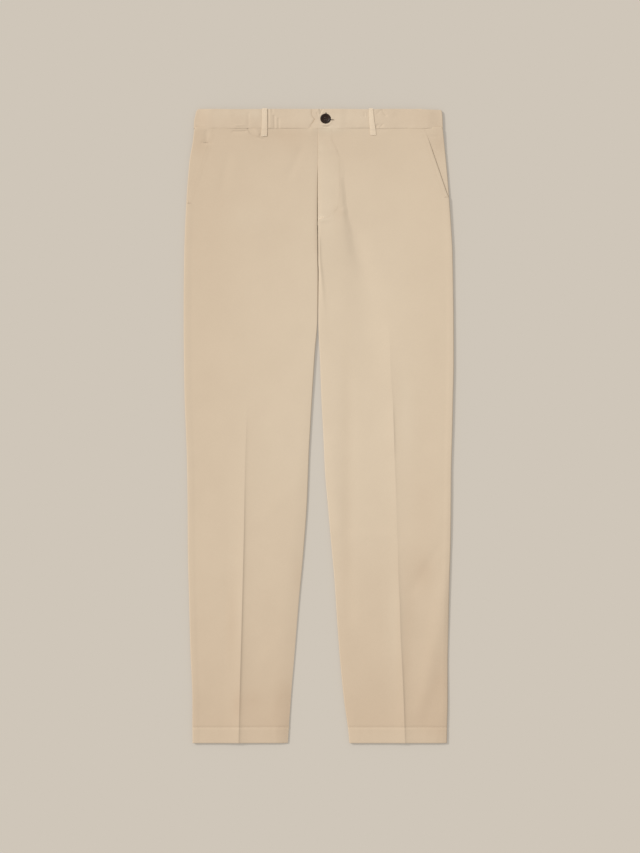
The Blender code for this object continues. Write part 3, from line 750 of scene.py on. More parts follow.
def twillFinish(name, colour, turn=0.0):
    make = Finish(name)
    weave = make.node("ShaderNodeUVMap", {"uv_map": "weave"})
    if turn:
        weave = make.node("ShaderNodeVectorRotate", {"rotation_type": "Z_AXIS"},
                          {"Vector": weave, "Angle": turn})
    u = make.node("ShaderNodeSeparateXYZ", {}, {0: weave})
    v = Wire(make, u.socket.node.outputs[1])
    drift = make.noise(weave, twill["driftScale"], 2.0)
    turns = 2 * math.pi / twill["pitch"]
    lines = ((u + v * twill["lean"]) * turns + drift * 2.2).sine()
    floats = ((u * twill["lean"] - v) * (turns / twill["floatPitch"]) + drift * 3.0).sine()
    thin = twill["yarnStretch"]
    warp = make.noise(make.stretched(weave, (1.0, thin, 1.0)), twill["warpScale"], 3.0, 0.6)
    weft = make.noise(make.stretched(weave, (thin, 1.0, 1.0)), twill["weftScale"], 3.0, 0.6)
    speckle = make.noise(weave, twill["speckleScale"], 3.0, 0.7)
    mottle = make.noise(make.place, twill["mottleScale"], 4.0, 0.55)
    # each point's tone carries painted light and shade, and the mottle adds random tone
    tone = make.node("ShaderNodeAttribute", {"attribute_name": "tone"}, out="Fac")
    factor = (1.0 + (warp - 0.5) * twill["slub"] + (weft - 0.5) * twill["slub"]
              + (speckle - 0.5) * twill["speckle"] + (mottle - 0.5) * twill["mottle"]
              + lines * 0.03 + floats * 0.012)
    height = lines * 0.5 + floats * 0.2 + (warp + weft) * 0.9 + speckle * 0.6
    ends = [(*[c * k for c, k in zip(colour, twill[end])], 1.0) for end in ("deepest", "palest")]
    base = make.node("ShaderNodeMix", {"data_type": "RGBA", "blend_type": "MIX"}, {
        0: tone + (mottle - 0.5) * 0.12, 6: ends[0], 7: ends[1]}, out=2)
    return make.surface({
        "Base Color": make.scaled(base, factor),
        "Roughness": twill["roughness"] + (speckle - 0.5) * 0.16,
        "Normal": make.bump(0.55, twill["lineDepth"], height),
        "Sheen Weight": twill["sheen"],
        "Sheen Roughness": 0.55,
        "Specular IOR Level": 0.22,
    })


def threadFinish(name, colour):
    make = Finish(name)
    fibre = make.noise(make.place, 2400.0, 2.0, 0.6)
    batch = make.noise(make.place, 160.0, 1.0)
    factor = 0.94 + fibre * 0.12 + (batch - 0.5) * 0.1
    return make.surface({
        "Base Color": make.scaled((*colour,), factor),
        "Roughness": 0.62 + (fibre - 0.5) * 0.2,
        "Normal": make.bump(0.5, 0.00005, fibre),
        "Sheen Weight": 0.1,
        "Specular IOR Level": 0.3,
    })


def hornFinish(name, colour):
    make = Finish(name)
    swirl = make.noise(make.stretched(make.place, (1.0, 0.35, 1.0)), 420.0, 4.0, 0.6)
    flecks = make.noise(make.place, 1500.0, 3.0, 0.65)
    blend = make.node("ShaderNodeValToRGB", {"stops": (
        (0.35, (*colour, 1.0)), (0.75, (*[c * 2.6 for c in colour], 1.0)))}, {"Fac": swirl})
    return make.surface({
        "Base Color": make.scaled(blend, 0.8 + flecks * 0.4),
        "Roughness": 0.36 + flecks * 0.14,
        "Normal": make.bump(0.25, 0.00006, flecks),
        "Specular IOR Level": 0.2,
    })


def floorFinish(name, colour):
    make = Finish(name)
    grain = make.noise(make.place, 220.0, 3.0)
    return make.surface({
        "Base Color": make.scaled((*colour,), 0.998 + (grain - 0.5) * 0.01),
        "Roughness": 0.95,
        "Specular IOR Level": 0.0,
        "Emission Color": (*colours["floorGlow"], 1.0),
        "Emission Strength": 1.0,
    })


finishes = {key: make(name, colours[key], *turn) for key, make, name, *turn in (
    ("cloth", twillFinish, "twill"), ("band", twillFinish, "band twill", math.pi / 2),
    ("loop", twillFinish, "loop twill"), ("inner", twillFinish, "inner twill"),
    ("thread", threadFinish, "cotton thread"), ("loopThread", threadFinish, "loop thread"),
    ("holeThread", threadFinish, "buttonhole thread"),
    ("buttonThread", threadFinish, "button thread"), ("button", hornFinish, "dark horn"))}
print("finishes made:", len(finishes))


# ---- panels

hemFold = {"radius": 1.1, "seamShare": 0.85, "angles": (150, 120, 90, 60, 30)}
turnUp = {"firstRow": 1058.0, "inset": 2.8, "tone": 0.45, "lift": 0.1, "aboveBack": 2.3}
# the panels' tops turn in below the waistband
tucked = {"top": 31.0, "start": 33.26, "end": 33.42, "grooveStart": 0.08, "grooveEnd": 0.26,
          "inwards": 1.2, "reach": (14.0, 2.0), "flatShare": 0.25, "front": -1.75, "back": 1.75,
          "pocket": -0.6, "fly": -1.0}


def tuckUnderBand(x, down, height, outer, side, lower):
    shown = seamGroove(x)
    tuck = 1 - ease(tucked["start"] + tucked["grooveStart"] * shown,
                    tucked["end"] + tucked["grooveEnd"] * shown, down)
    near = ease(*tucked["reach"], abs(outer - x))
    return (x - side * tucked["inwards"] * near * tuck,
            height + lower * tuck * between(tucked["flatShare"], 1.0, min(1.0, shown)))


def withCurledEnd(rows, facingUp):
    # the hem's fold goes on from the last row of a panel, in rows that turn in
    sign = -1 if facingUp else 1
    curled = []
    for angle in hemFold["angles"]:
        turn = math.radians(angle)
        line = []
        for x, down, height, shade, share in rows[0]:
            own = hemFold["radius"] * (1 - hemFold["seamShare"] * share)
            line.append((x, down + own * math.sin(turn),
                         height + sign * own * (1 - math.cos(turn)), shade))
        curled.append(line)
    return curled + [[point[:4] for point in line] for line in rows]


def addFront(leg):
    side = legs[leg]["side"]
    rows = []
    for down in reversed(panelDowns(leg)):
        row = sectionAt(leg, down)
        raised = legs[leg]["mouthRim"] * row["opened"] * (1 - row["closed"])
        line = []
        for x, fall, share in panelColumns(leg, row):
            height = heldAtSeam(faceHeight(leg, x, down), row, fall, share)
            inside = side * (row["mouth"] - x) - pocket["rimInset"]
            height += raised * math.exp(-(inside / pocket["rimWidth"])**2)
            x, height = tuckUnderBand(x, down, height, row["outer"], side, tucked["front"])
            shifted = down + waves("waistLine", x) * (1 - ease(36, 60, down))
            line.append((x, shifted, height, paintedShadeAt(x, down), share))
        rows.append(line)
    beside = panelSteps[leg][0 if side > 0 else 1] - 1
    addCloth(f"front_{leg}", withCurledEnd(rows, True), "cloth", trousers["wall"], "cloth",
             [f"back_{leg}"], ridgeAt=curlSteps + beside + len(gentleShares))


back = {"rise": 0.32, "creaseFrom": 420, "creaseTo": 620, "creaseShift": 4.0, "creaseWidth": 3.5,
        "seamGap": 0.15, "seamLap": 0.4, "columns": 45, "innerWidth": (0.9, 2.4),
        "outerWidth": 2.2}


def backTrough(x, down, row):
    # shallow hollows in the underside, and the back's own pressed crease
    height = back["rise"] + waves("back", x, down)
    pressed = ease(back["creaseFrom"], back["creaseTo"], down)
    pressed *= math.exp(-abs(x - row["ridge"] + back["creaseShift"]) / back["creaseWidth"])
    return max(0.0, height * (1 - pressed))


def backColumns(leg, row):
    side = legs[leg]["side"]
    rise = row["seam"] - back["seamGap"] - row["rest"]
    # down to the crotch the two backs meet in the centre seam
    seamEdge = row["inner"] - side * back["seamLap"] * (1 - row["apart"])
    inner = edgeCurl(seamEdge, side, between(*back["innerWidth"], row["apart"]), rise, 0)
    outer = edgeCurl(row["outer"], -side, back["outerWidth"], rise, 0)
    middle = [(x, 0.0, 0.0) for x in evenly(inner[-1][0], outer[-1][0], back["columns"])[1:-1]]
    across = inner + middle + outer[::-1]
    return across if side > 0 else across[::-1]


def addBack(leg):
    side = legs[leg]["side"]
    downs = [tucked["top"], 32.5, 33.2, 33.5, 33.8, 34.2]
    downs += evenly(35.8, trousers["hemRows"], 181)
    downs += evenly(trousers["hemRows"], trousers["lastRow"], 17)[1:]
    rows = []
    for down in reversed(downs):
        row = sectionAt(leg, down)
        line = []
        for x, rise, share in backColumns(leg, row):
            height = row["rest"] + rise + backTrough(x, down, row) * (1 - share)
            x, height = tuckUnderBand(x, down, height, row["outer"], side, tucked["back"])
            line.append((x, down, height, paintedShadeAt(x, down), share))
        rows.append(line)
    addCloth(f"back_{leg}", withCurledEnd(rows, False), "cloth", trousers["wall"], "cloth",
             facingUp=False)


def addHems(leg):
    # the turn-ups inside the leg
    side = legs[leg]["side"]
    inset, tone = side * turnUp["inset"], turnUp["tone"]
    fronts, backs = [], []
    for down in evenly(turnUp["firstRow"], trousers["outseam"] - trousers["hemDepth"] - 1.0, 14):
        row = sectionAt(leg, down)
        xs = evenly(*sorted((row["inner"] + inset, row["outer"] - inset)), 61)
        fronts.append([(x, down, faceHeight(leg, x, down) - trousers["stepIn"] + turnUp["lift"],
                        tone) for x in xs])
        backs.append([(x, down, row["rest"] + turnUp["aboveBack"] + waves("turnUp", x, down),
                       tone) for x in xs])
    for half, rows, below in (("front", fronts, f"hem_back_{leg}"),
                              ("back", backs, f"back_{leg}")):
        addCloth(f"hem_{half}_{leg}", rows, "inner", trousers["turnUpWall"], "inner_cloth",
                 [below], "folded")


def addPocketFacing(leg):
    side, end = legs[leg]["side"], legs[leg]["pocketEnd"]
    rows = []
    for down in evenly(end + 1.5, tucked["top"], 70):
        row = sectionAt(leg, down)
        outside = between(pocket["flatLip"], legs[leg]["facingOutside"], row["opened"])
        hidden = ease(end - pocket["hideFrom"], end - pocket["hideTo"], down)
        drop = row["front"] - pocket["step"] - row["seam"] - pocket["seamRoom"]
        outer = edgeCurl(row["outer"] - side * pocket["hidden"] * hidden, -side,
                         pocket["outerWidth"], drop, 0)
        mouth, turn = side * row["mouth"], side * outer[-1][0]
        marks = [side * min(mouth + beside, turn - room) for beside, room, _ in pocket["columns"]]
        marks.append(side * turn)
        across = []
        for start, stop, (_, _, count) in zip(marks, marks[1:], pocket["columns"]):
            across += [(x, 0.0, 0.0) for x in evenly(start, stop, count + 1)[:-1]]
        line = []
        for x, fall, share in across + outer[::-1]:
            shown = ease(*pocket["stepSpan"], side * (x - row["mouth"]))
            step = between(max(outside, pocket["step"]), outside, shown)
            step = between(step, pocket["closedStep"], hidden)
            height = heldAtSeam(faceHeight(leg, x, down), row, fall, share) - step
            x, height = tuckUnderBand(x, down, height, row["outer"], side, tucked["pocket"])
            line.append((x, down, height, paintedShadeAt(x, down)))
        rows.append(line if side > 0 else line[::-1])
    addCloth(f"pocket_facing_{leg}", rows, "cloth", trousers["wall"], "inner_cloth",
             [f"back_{leg}"])


flyFacing = {"inner": 0.8, "outer": 33.0, "footFrom": 165.0, "footOuter": 15.0, "below": 0.95}


def addFlyFacing():
    rows = []
    for down in evenly(trousers["flyEnd"] - 0.5, tucked["top"], 50):
        foot = ease(flyFacing["footFrom"], trousers["flyEnd"], down)**2
        outer = between(min(flyFacing["outer"], sectionAt("left", down)["ridge"] - 1),
                        flyFacing["footOuter"], foot)
        line = []
        for x in evenly(flyFacing["inner"], outer, 16):
            height = faceHeight("left", x, down) - flyFacing["below"]
            x, height = tuckUnderBand(x, down, height, math.inf, 1, tucked["fly"])
            line.append((x, down, height, paintedShadeAt(x, down)))
        rows.append(line)
    addCloth("fly_facing", rows, "inner", trousers["facingWall"], "inner_cloth", ["front_right"],
             "folded")


# ---- waistband

band = {
    "top": 7.0, "rest": 1.5, "overlapLift": 0.75, "liftStart": 48.0, "liftEnd": 34.0,
    "underlapReach": 30.0, "underlapDip": 0.75, "dipReach": 4.6, "endDrop": 0.6,
    "endSlope": 12.0, "underDrop": 1.1, "under": (-0.35, -1.2), "sideTop": 5.0, "sideSlope": 26.0,
    "squareness": 0.6, "topDrop": 1.2, "endTopDrop": 1.3, "topDropSpan": (150.0, 200.0),
    "grooveDrop": 0.3, "grooveReach": 1.6, "footReach": 6.0, "topReach": 5.0, "middle": 16.0,
    "rim": 0.22,
    "leftSide": ((0, 204.6), (2, 205.8), (6, 206.7), (33.4, 207.9)),
    "rightSide": ((0, 200.2), (1.2, 202.0), (3, 203.6), (6, 204.8), (12, 205.8), (20, 207.6),
                  (33.4, 208.5)),
    "overlapEnd": ((0, -10.9), (8, -10.9), (12.5, -10.2), (15.5, -8.6), (18.4, -5.9), (21, -7.6),
                   (23.4, -8.8), (26, -11.2), (29.3, -12.6), (33.4, -13.2)),
}
bandSides = {"left": track(band["leftSide"], 1), "right": track(band["rightSide"], 1)}
overlapEnd = track(band["overlapEnd"], 1)
bandFolds = bounded((
    # soft dents beside the loops and above the button
    ((-117, 8, 2.2, -0.35), (-117, 30, 2.2, -0.35)),
    ((-83.9, 0, 1.5, -0.4), (-83.7, 30, 1.5, -0.35)),
    ((-77, 0, 1.5, -0.5), (-77, 6, 1.5, -0.4)),
    ((-73.8, 13, 1.7, -0.8), (-73.4, 32, 1.7, -0.8)),
    ((-66.8, 18, 1.6, -0.65), (-66.4, 32, 1.6, -0.65)),
    ((106.0, 2, 1.7, -0.8), (112.5, 12, 1.7, -0.8)),
    ((103, 3, 2.0, -0.3), (98, 9, 2.0, -0.3)),
    ((96, 31, 1.5, -0.6), (100, 27, 1.5, -0.5), (104, 31, 1.5, -0.6), (107, 27, 1.6, -0.6)),
    ((77.0, 6, 0.9, -0.5), (77.0, 14, 0.9, -0.5)),
    ((82.0, 6, 0.9, -0.5), (81.6, 14, 0.9, -0.5)),
    ((2.4, 0.5, 1.1, -0.75), (4.2, 5.9, 1.1, -0.85), (2.6, 9.6, 1.1, -0.6)),
    ((6.8, 0.5, 1.0, -0.6), (4.9, 4.8, 1.0, -0.5)),
    ((-1.2, 0.5, 1.8, 0.45), (-1.0, 4.0, 1.8, 0.4)),
    ((-2.4, 6.5, 1.1, -0.5), (-0.8, 12.5, 1.1, -0.35)),
    ((12.0, 18.0, 7.0, -1.5), (12.1, 18.0, 7.0, -1.5)),
    ((19.5, 12.0, 1.5, 0.3), (23.0, 18.0, 1.5, 0.35), (20.5, 24.5, 1.6, 0.5),
     (13.0, 28.6, 1.6, 0.6), (5.0, 27.0, 1.6, 0.45)),
    ((18.5, 19.3, 0.75, -1.0), (25.2, 19.3, 0.7, -0.9)),
    ((9, 31.0, 1.1, -0.6), (17, 31.0, 1.1, -0.6)),
    ((7, 28.2, 1.2, 0.3), (17, 28.2, 1.2, 0.3)),
    ((-138, 28.5, 1.4, 0.35), (-125, 28.5, 1.4, 0.35)),
    ((130, 12, 6, -0.25), (150, 30, 6, -0.25)),
    ((-150, 5, 6, 0.25), (-140, 28, 6, 0.25)),
    ((-80.6, 1, 1.5, 0.3), (-80.4, 31, 1.5, 0.3)),
))


def bandFace(x, down, leftHalf):
    toSeam = trousers["bandDepth"] - down
    groove = band["grooveDrop"] * seamGroove(x) * math.exp(-toSeam / band["grooveReach"])
    height = band["top"] - groove
    away = overlapEnd(down) - x
    if leftHalf:
        height += band["overlapLift"] * (1 - ease(band["liftEnd"], band["liftStart"], x))
        height -= band["endDrop"] * (1 - ease(0, band["endSlope"], -away))
    else:
        # the underlap goes down towards the pointed end, and then under it
        height -= band["underlapDip"] * max(0.0, 1 - max(0.0, away) / band["dipReach"])**2
        height -= band["underDrop"] * ease(*band["under"], away)
    height += foldHeight(bandFolds, x, down) + waves("band", x, down)
    return (height + math.exp(-toSeam / band["footReach"]) * waves("bandFoot", x)
            + math.exp(-down / band["topReach"]) * waves("bandTop", x))


def bandEdgeShift(x, down):
    # the band's long edges aren't ruled lines
    low = ease(band["middle"], trousers["bandDepth"], down) * waves("waistLine", x)
    drop = (band["topDrop"] + waves("bandTopLine", x)
            + band["endTopDrop"] * ease(*band["topDropSpan"], x))
    return down + low + (1 - ease(0, band["middle"], down)) * drop


bandMesh = {"rows": 48, "rowCrowd": 1.15, "columns": 180, "crowd": 1.3, "lapColumns": (9, 35, 138),
            "lapFrom": 3.0, "lapTo": 20.0, "sideColumns": 10, "underColumns": 90, "seamGap": 0.12}


def bandColumns(leftHalf, start, stop):
    # the right half has its closest columns where the overlap's end lies on it
    if leftHalf:
        return crowded(start, stop, bandMesh["columns"], bandMesh["crowd"])
    marks = (start, bandMesh["lapFrom"], bandMesh["lapTo"], stop)
    spans = [evenly(*span) for span in zip(marks, marks[1:], bandMesh["lapColumns"])]
    return spans[0][:-1] + spans[1][:-1] + spans[2]


def addBand(half):
    leftHalf = half == "left"
    side = 1 if leftHalf else -1
    radius = (band["sideTop"] - band["rest"]) / 2
    rows = []
    for down in crowded(trousers["bandDepth"], 0.0, bandMesh["rows"], bandMesh["rowCrowd"]):
        edge = bandSides[half](down)
        end = overlapEnd(down) if leftHalf else -band["underlapReach"]
        # over the face, round the side and back below: x from the centre, height
        points = []
        for x in bandColumns(leftHalf, end, edge - radius):
            fade = ease(edge - radius, edge - radius - band["sideSlope"], x)
            points.append((x, between(band["sideTop"], bandFace(x * side, down, leftHalf), fade)))
        for angle in evenly(0.0, math.pi, bandMesh["sideColumns"] + 2)[1:-1]:
            out, up = math.sin(angle), math.cos(angle)
            up = math.copysign(abs(up)**band["squareness"], up)
            points.append((edge - radius * (1 - out**band["squareness"]),
                           band["rest"] + radius * (1 + up)))
        middle = side * trousers["centre"] + bandMesh["seamGap"]
        for x in evenly(edge - radius, middle, bandMesh["underColumns"]):
            inward = max(0.0, waves("bandUnder", x * side, down)) * ease(edge - 4, edge - 14, x)
            points.append((x, band["rest"] + inward))
        line = [(x * side, bandEdgeShift(x * side, down), height, paintedShadeAt(x * side, down))
                for x, height in points]
        rows.append(line if leftHalf else line[::-1])
    addCloth(f"waistband_{half}", rows, "band", trousers["bandWall"], "band_cloth",
             ["waistband_right" if leftHalf else "belt_loop_back_right"], "folded",
             roundRim=band["rim"])


# ---- belt loops

# front loops: down, edge towards the wearer's right, edge towards the wearer's left
frontLoops = {
    "belt_loop_front_right": ((0.2, -94.1, -85.5), (20, -94.3, -85.4), (33, -95.1, -85.3),
                              (47.1, -96.0, -85.6)),
    "belt_loop_front_left": ((0.2, 84.2, 91.3), (20, 84.5, 93.0), (33, 85.4, 95.1),
                             (45.4, 86.3, 96.5)),
}
backLoops = {"belt_loop_back_right": -168.0, "belt_loop_back_centre": trousers["centre"],
             "belt_loop_back_left": 168.0}
loop = {
    "length": 46.8, "bow": 0.22, "bowEnd": 39.0, "wall": 0.7, "gap": 0.08, "ridges": 0.06,
    "down": 0.2, "lowered": (33.7, 37.5), "pressed": 0.55, "foot": 2.5, "rounded": 0.15,
    "backWall": 1.1, "backWidth": 9.8, "backRim": 0.3, "backLift": 0.05, "backWave": 0.06,
    "overCloth": 0.15,
}


def loopHeight(sizes, down, across):
    # height of a loop's face, with across from -1 to 1
    base = between(band["top"], sectionAt("left", down)["front"] + loop["overCloth"],
                   ease(*loop["lowered"], down))
    bow = loop["bow"] * math.sin(math.pi * min(1.0, down / loop["bowEnd"]))
    foot = sizes[-1][0]
    height = base + loop["gap"] + bow + loop["wall"]
    height -= loop["pressed"] * ease(foot - loop["foot"], foot, down)      # sewn down
    height += loop["ridges"] * math.cos(across * math.pi * 1.5)
    return height - loop["rounded"] * across**4


def addFrontLoop(name, sizes):
    rightEdge, leftEdge = track(sizes, 1), track(sizes, 2)
    rows = []
    for down in evenly(sizes[-1][0], loop["down"], 45):
        x, width = (rightEdge(down) + leftEdge(down)) / 2, leftEdge(down) - rightEdge(down)
        rows.append([(x + across * width / 2, down, loopHeight(sizes, down, across),
                      paintedShadeAt(x, down)) for across in evenly(-1, 1, 15)])
    half = "left" if sizes[0][1] > 0 else "right"
    addCloth(name, rows, "loop", loop["wall"], "loop_cloth", [f"waistband_{half}"], "folded")


def addBackLoop(name, centre):
    rows = []
    for down in evenly(loop["length"], loop["down"], 25):
        line = []
        for across in evenly(-1, 1, 9):
            rise = loop["backWave"] * (1 + wave(across * 6, down, 14, centre)) * (1 - across**2)
            line.append((centre + across * loop["backWidth"] / 2, down,
                         loop["backLift"] + rise, paintedShadeAt(centre, down)))
        rows.append(line)
    addCloth(name, rows, "loop", loop["backWall"], "loop_cloth", held="folded", facingUp=False,
             roundRim=loop["backRim"])


for oneLeg in ("right", "left"):
    addFront(oneLeg)
    addBack(oneLeg)
    addHems(oneLeg)
    addPocketFacing(oneLeg)
addFlyFacing()
print("panels made:", len(made))
addBand("right")
addBand("left")
for loopName, loopSizes in frontLoops.items():
    addFrontLoop(loopName, loopSizes)
for loopName, centre in backLoops.items():
    addBackLoop(loopName, centre)
print("band and loops made:", len(made))


# ---- button

button = {
    "x": 11.75, "down": 17.4, "sunk": 1.1, "squash": (1.01, 0.95, 0.73), "holeRadius": 0.95,
    "holeOffset": 1.6, "face": 1.85, "steps": 64, "rim": 0.12, "rimAngle": 50.0,
    # half of the disc's section, from the middle of its face round to the middle of its back
    "profile": (
        (0.0, 1.85), (2.0, 1.85), (4.2, 1.9), (5.4, 2.15), (6.3, 2.65), (6.9, 2.9), (7.4, 3.0),
        (7.9, 2.88), (8.35, 2.5), (8.7, 1.9), (8.8, 1.3), (8.65, 0.75), (8.1, 0.3), (7.0, 0.05),
        (6.0, 0.0), (3.0, 0.0), (0.0, 0.0),
    ),
}
button["base"] = band["top"] + band["overlapLift"] - button["sunk"]


def addButton():
    grid = bmesh.new()
    line = [grid.verts.new((r * mm, 0, z * mm)) for r, z in button["profile"]]
    edges = [grid.edges.new(pair) for pair in zip(line, line[1:])]
    bmesh.ops.spin(grid, geom=line + edges, cent=(0, 0, 0), axis=(0, 0, 1), angle=2 * math.pi,
                   steps=button["steps"], use_duplicate=False)
    bmesh.ops.remove_doubles(grid, verts=grid.verts, dist=1e-6)
    bmesh.ops.recalc_face_normals(grid, faces=grid.faces)
    disc = addObject("trouser_button", meshOf(grid, "trouser_button"))
    rods = []
    for x, y in ((-1, -1), (-1, 1), (1, -1), (1, 1)):
        rodGrid = bmesh.new()
        bmesh.ops.create_cone(rodGrid, cap_ends=True, segments=20, depth=9 * mm,
                              radius1=button["holeRadius"] * mm, radius2=button["holeRadius"] * mm)
        for vert in rodGrid.verts:
            vert.co.x += x * button["holeOffset"] * mm
            vert.co.y += y * button["holeOffset"] * mm
        rods.append(addObject("rod", meshOf(rodGrid, "rod")))
        hole = disc.modifiers.new("hole", "BOOLEAN")
        hole.object = rods[-1]
        hole.operation = "DIFFERENCE"
        hole.solver = "EXACT"
    bevel(disc, button["rim"], button["rimAngle"])
    keepShape(disc)
    for rod in rods:
        bpy.data.objects.remove(rod, do_unlink=True)
    disc.data.materials.clear()
    disc.data.materials.append(finishes["button"])
    for face in disc.data.polygons:
        face.use_smooth = True
    for vert in disc.data.vertices:
        vert.co *= Vector(button["squash"])
        vert.co += Vector(placed(button["x"], button["down"], button["base"]))
    return disc


buttonPiece = addButton()


# ---- sewing, along paths that lie on the cloth

def stitchTree():
    # a sewn line: the path is cut into stitches, and each gets a short rounded thread that is
    # as long along the path and as wide across it as its inputs say
    tree = bpy.data.node_groups.new("stitch line", "GeometryNodeTree")
    for label, way, kind, value in (
            ("Geometry", "INPUT", "Geometry", None), ("Pitch", "INPUT", "Float", 0.0028),
            ("Along", "INPUT", "Float", 0.0023), ("Across", "INPUT", "Float", 0.00042),
            ("Thickness", "INPUT", "Float", 0.00042), ("Seed", "INPUT", "Int", 7),
            ("Finish", "INPUT", "Material", None), ("Geometry", "OUTPUT", "Geometry", None)):
        socket = tree.interface.new_socket(label, in_out=way, socket_type="NodeSocket" + kind)
        if value is not None:
            socket.default_value = value
    kinds = {
        "start": "NodeGroupInput", "curve": "GeometryNodeMeshToCurve",
        "resample": "GeometryNodeResampleCurve", "thread": "GeometryNodeMeshUVSphere",
        "size": "ShaderNodeCombineXYZ", "shaped": "GeometryNodeTransform",
        "tangent": "GeometryNodeInputTangent", "align": "FunctionNodeAlignEulerToVector",
        "vary": "FunctionNodeRandomValue", "instance": "GeometryNodeInstanceOnPoints",
        "realize": "GeometryNodeRealizeInstances", "smooth": "GeometryNodeSetShadeSmooth",
        "finish": "GeometryNodeSetMaterial", "end": "NodeGroupOutput",
    }
    parts = {label: tree.nodes.new(kind) for label, kind in kinds.items()}
    parts["resample"].mode = "LENGTH"
    parts["align"].axis = "X"
    parts["vary"].data_type = "FLOAT"
    for label, place, value in (("thread", "Segments", 6), ("thread", "Rings", 5),
                                ("thread", "Radius", 0.5), ("vary", 2, 0.86), ("vary", 3, 1.08)):
        parts[label].inputs[place].default_value = value
    for source, output, target, place in (
            ("start", "Geometry", "curve", 0), ("curve", 0, "resample", "Curve"),
            ("start", "Pitch", "resample", "Length"), ("resample", 0, "instance", "Points"),
            ("tangent", 0, "align", "Vector"), ("align", 0, "instance", "Rotation"),
            ("start", "Along", "size", "X"), ("start", "Across", "size", "Y"),
            ("start", "Thickness", "size", "Z"), ("size", 0, "shaped", "Scale"),
            ("thread", 0, "shaped", "Geometry"), ("shaped", 0, "instance", "Instance"),
            ("start", "Seed", "vary", "Seed"), ("vary", 1, "instance", "Scale"),
            ("instance", 0, "realize", 0), ("realize", 0, "smooth", 0),
            ("smooth", 0, "finish", "Geometry"), ("start", "Finish", "finish", "Material"),
            ("finish", 0, "end", 0)):
        tree.links.new(parts[source].outputs[output], parts[target].inputs[place])
    return tree


stitches = stitchTree()


# kinds of stitch in mm: pitch, along the line, across it, thickness
stitchKinds = {
    "top": (2.8, 2.3, 0.42, 0.42),
    "fine": (2.4, 1.9, 0.34, 0.34),
    "tack": (0.42, 0.4, 1.7, 0.4),
    "purl": (0.5, 0.46, 1.3, 0.5),
    "wound": (0.5, 1.1, 0.8, 0.7),
}


def sew(name, paths, kind, finish):
    grid = bmesh.new()
    for path in paths:
        verts = [grid.verts.new(placed(*point)) for point in path]
        for pair in zip(verts, verts[1:]):
            grid.edges.new(pair)
    line = addObject(name, meshOf(grid, name))
    sewing = line.modifiers.new("stitches", "NODES")
    sewing.node_group = stitches
    named = {item.name: item.identifier for item in stitches.interface.items_tree
             if item.in_out == "INPUT"}
    for label, value in zip(("Pitch", "Along", "Across", "Thickness"), stitchKinds[kind]):
        sewing[named[label]] = value * mm
    sewing[named["Seed"]] = 7
    sewing[named["Finish"]] = finishes[finish]
    keepShape(line)
    return line


def along(points, heightAt, step=1.5):
    # a path through points (x, down), laid on a surface
    path = []
    for (x1, down1), (x2, down2) in zip(points, points[1:]):
        count = max(1, int(math.hypot(x2 - x1, down2 - down1) / step)) + 1
        path += list(zip(evenly(x1, x2, count), evenly(down1, down2, count)))[:-1]
    return [(x, down, heightAt(x, down)) for x, down in path + points[-1:]]


def onFront(leg, lift=0.05):
    return lambda x, down: faceHeight(leg, x, down) + lift


sewn = {}


def addSewing(name, carrier, paths, kind, finish="thread", slotName="cloth"):
    sewn[name] = {"piece": sew(name, paths, kind, finish), "slot": slotName}
    if carrier in made:
        made[carrier]["with"].append(sewn[name]["piece"])


def sewFront(leg):
    side, end = legs[leg]["side"], legs[leg]["pocketEnd"]
    carrier = f"front_{leg}"
    onCloth = onFront(leg)
    hemLine = sectionAt(leg, 1033.5)
    xs = evenly(hemLine["inner"] + side * 2, hemLine["outer"] - side * 2, 70)
    hemPath = [(x, hemStitchDown(x), onCloth(x, hemStitchDown(x))) for x in xs]
    addSewing(f"hem_stitches_{leg}", carrier, [hemPath], "top")
    # two rows beside the pocket's mouth, and bar tacks across its end
    rows = []
    for inset in (1.6, 7.0):
        points = [(sectionAt(leg, down)["mouth"] - side * inset, down)
                  for down in (36, 60, 90, 120, end - 6)]
        rows.append(along(points, onCloth, 3.0))
    addSewing(f"pocket_stitches_{leg}", carrier, rows, "fine")
    tacks = []
    for down, inwards, outwards in legs[leg]["tacks"]:
        mouth = sectionAt(leg, down)["mouth"]
        ends = [(mouth - side * inwards, down), (mouth - side * outwards, down)]
        tacks.append(along(ends, onFront(leg, 0.1)))
    addSewing(f"pocket_tacks_{leg}", carrier, tacks, "tack")


def sewFly():
    # the curved line that holds the fly facing, and the tack at the foot of the opening
    curve = [(21.5, 36), (22.5, 52), (27, 61), (31, 70), (34.5, 84), (35, 120), (35, 148),
             (33.5, 159), (30.5, 167), (25, 174.5), (17, 180.5), (9, 184), (1.8, 186)]
    addSewing("fly_stitches", "front_left", [along(curve, onFront("left"), 2.0)], "fine")
    tack = [along([(0.6, down), (9.0, down)], onFront("left", 0.08))
            for down in (181.6, 183.2, 184.8)]
    addSewing("fly_tack", "front_left", tack, "tack", "loopThread")


def sewFrontLoop(name, sizes):
    rightEdge, leftEdge = track(sizes, 1), track(sizes, 2)
    foot = sizes[-1][0]

    def onLoop(x, down):
        start, end = rightEdge(down), leftEdge(down)
        across = min(1.0, max(-1.0, 2 * (x - start) / (end - start) - 1))
        return loopHeight(sizes, down, across) + 0.04

    rows = []
    for share in (0.2, 0.8):
        points = [(between(rightEdge(down), leftEdge(down), share), down)
                  for down in (3.5, 12, 20, 28, 36, foot - 3)]
        rows.append(along(points, onLoop, 2.0))
    addSewing(name + "_stitches", name, rows, "fine", "loopThread", "loop_cloth")
    tacks = [along([(rightEdge(down) + 0.8, down), (leftEdge(down) - 0.8, down)], onLoop)
             for down in (2.0, foot - 1.3)]
    addSewing(name + "_tacks", name, tacks, "tack", "loopThread", "loop_cloth")


def sewBackLoop(name, centre):
    tacks = [along([(centre - 4.2, down), (centre + 4.2, down)], lambda x, down: 0.16)
             for down in (2.2, 45.0)]
    addSewing(name + "_tacks", name, tacks, "tack", "loopThread", "loop_cloth")


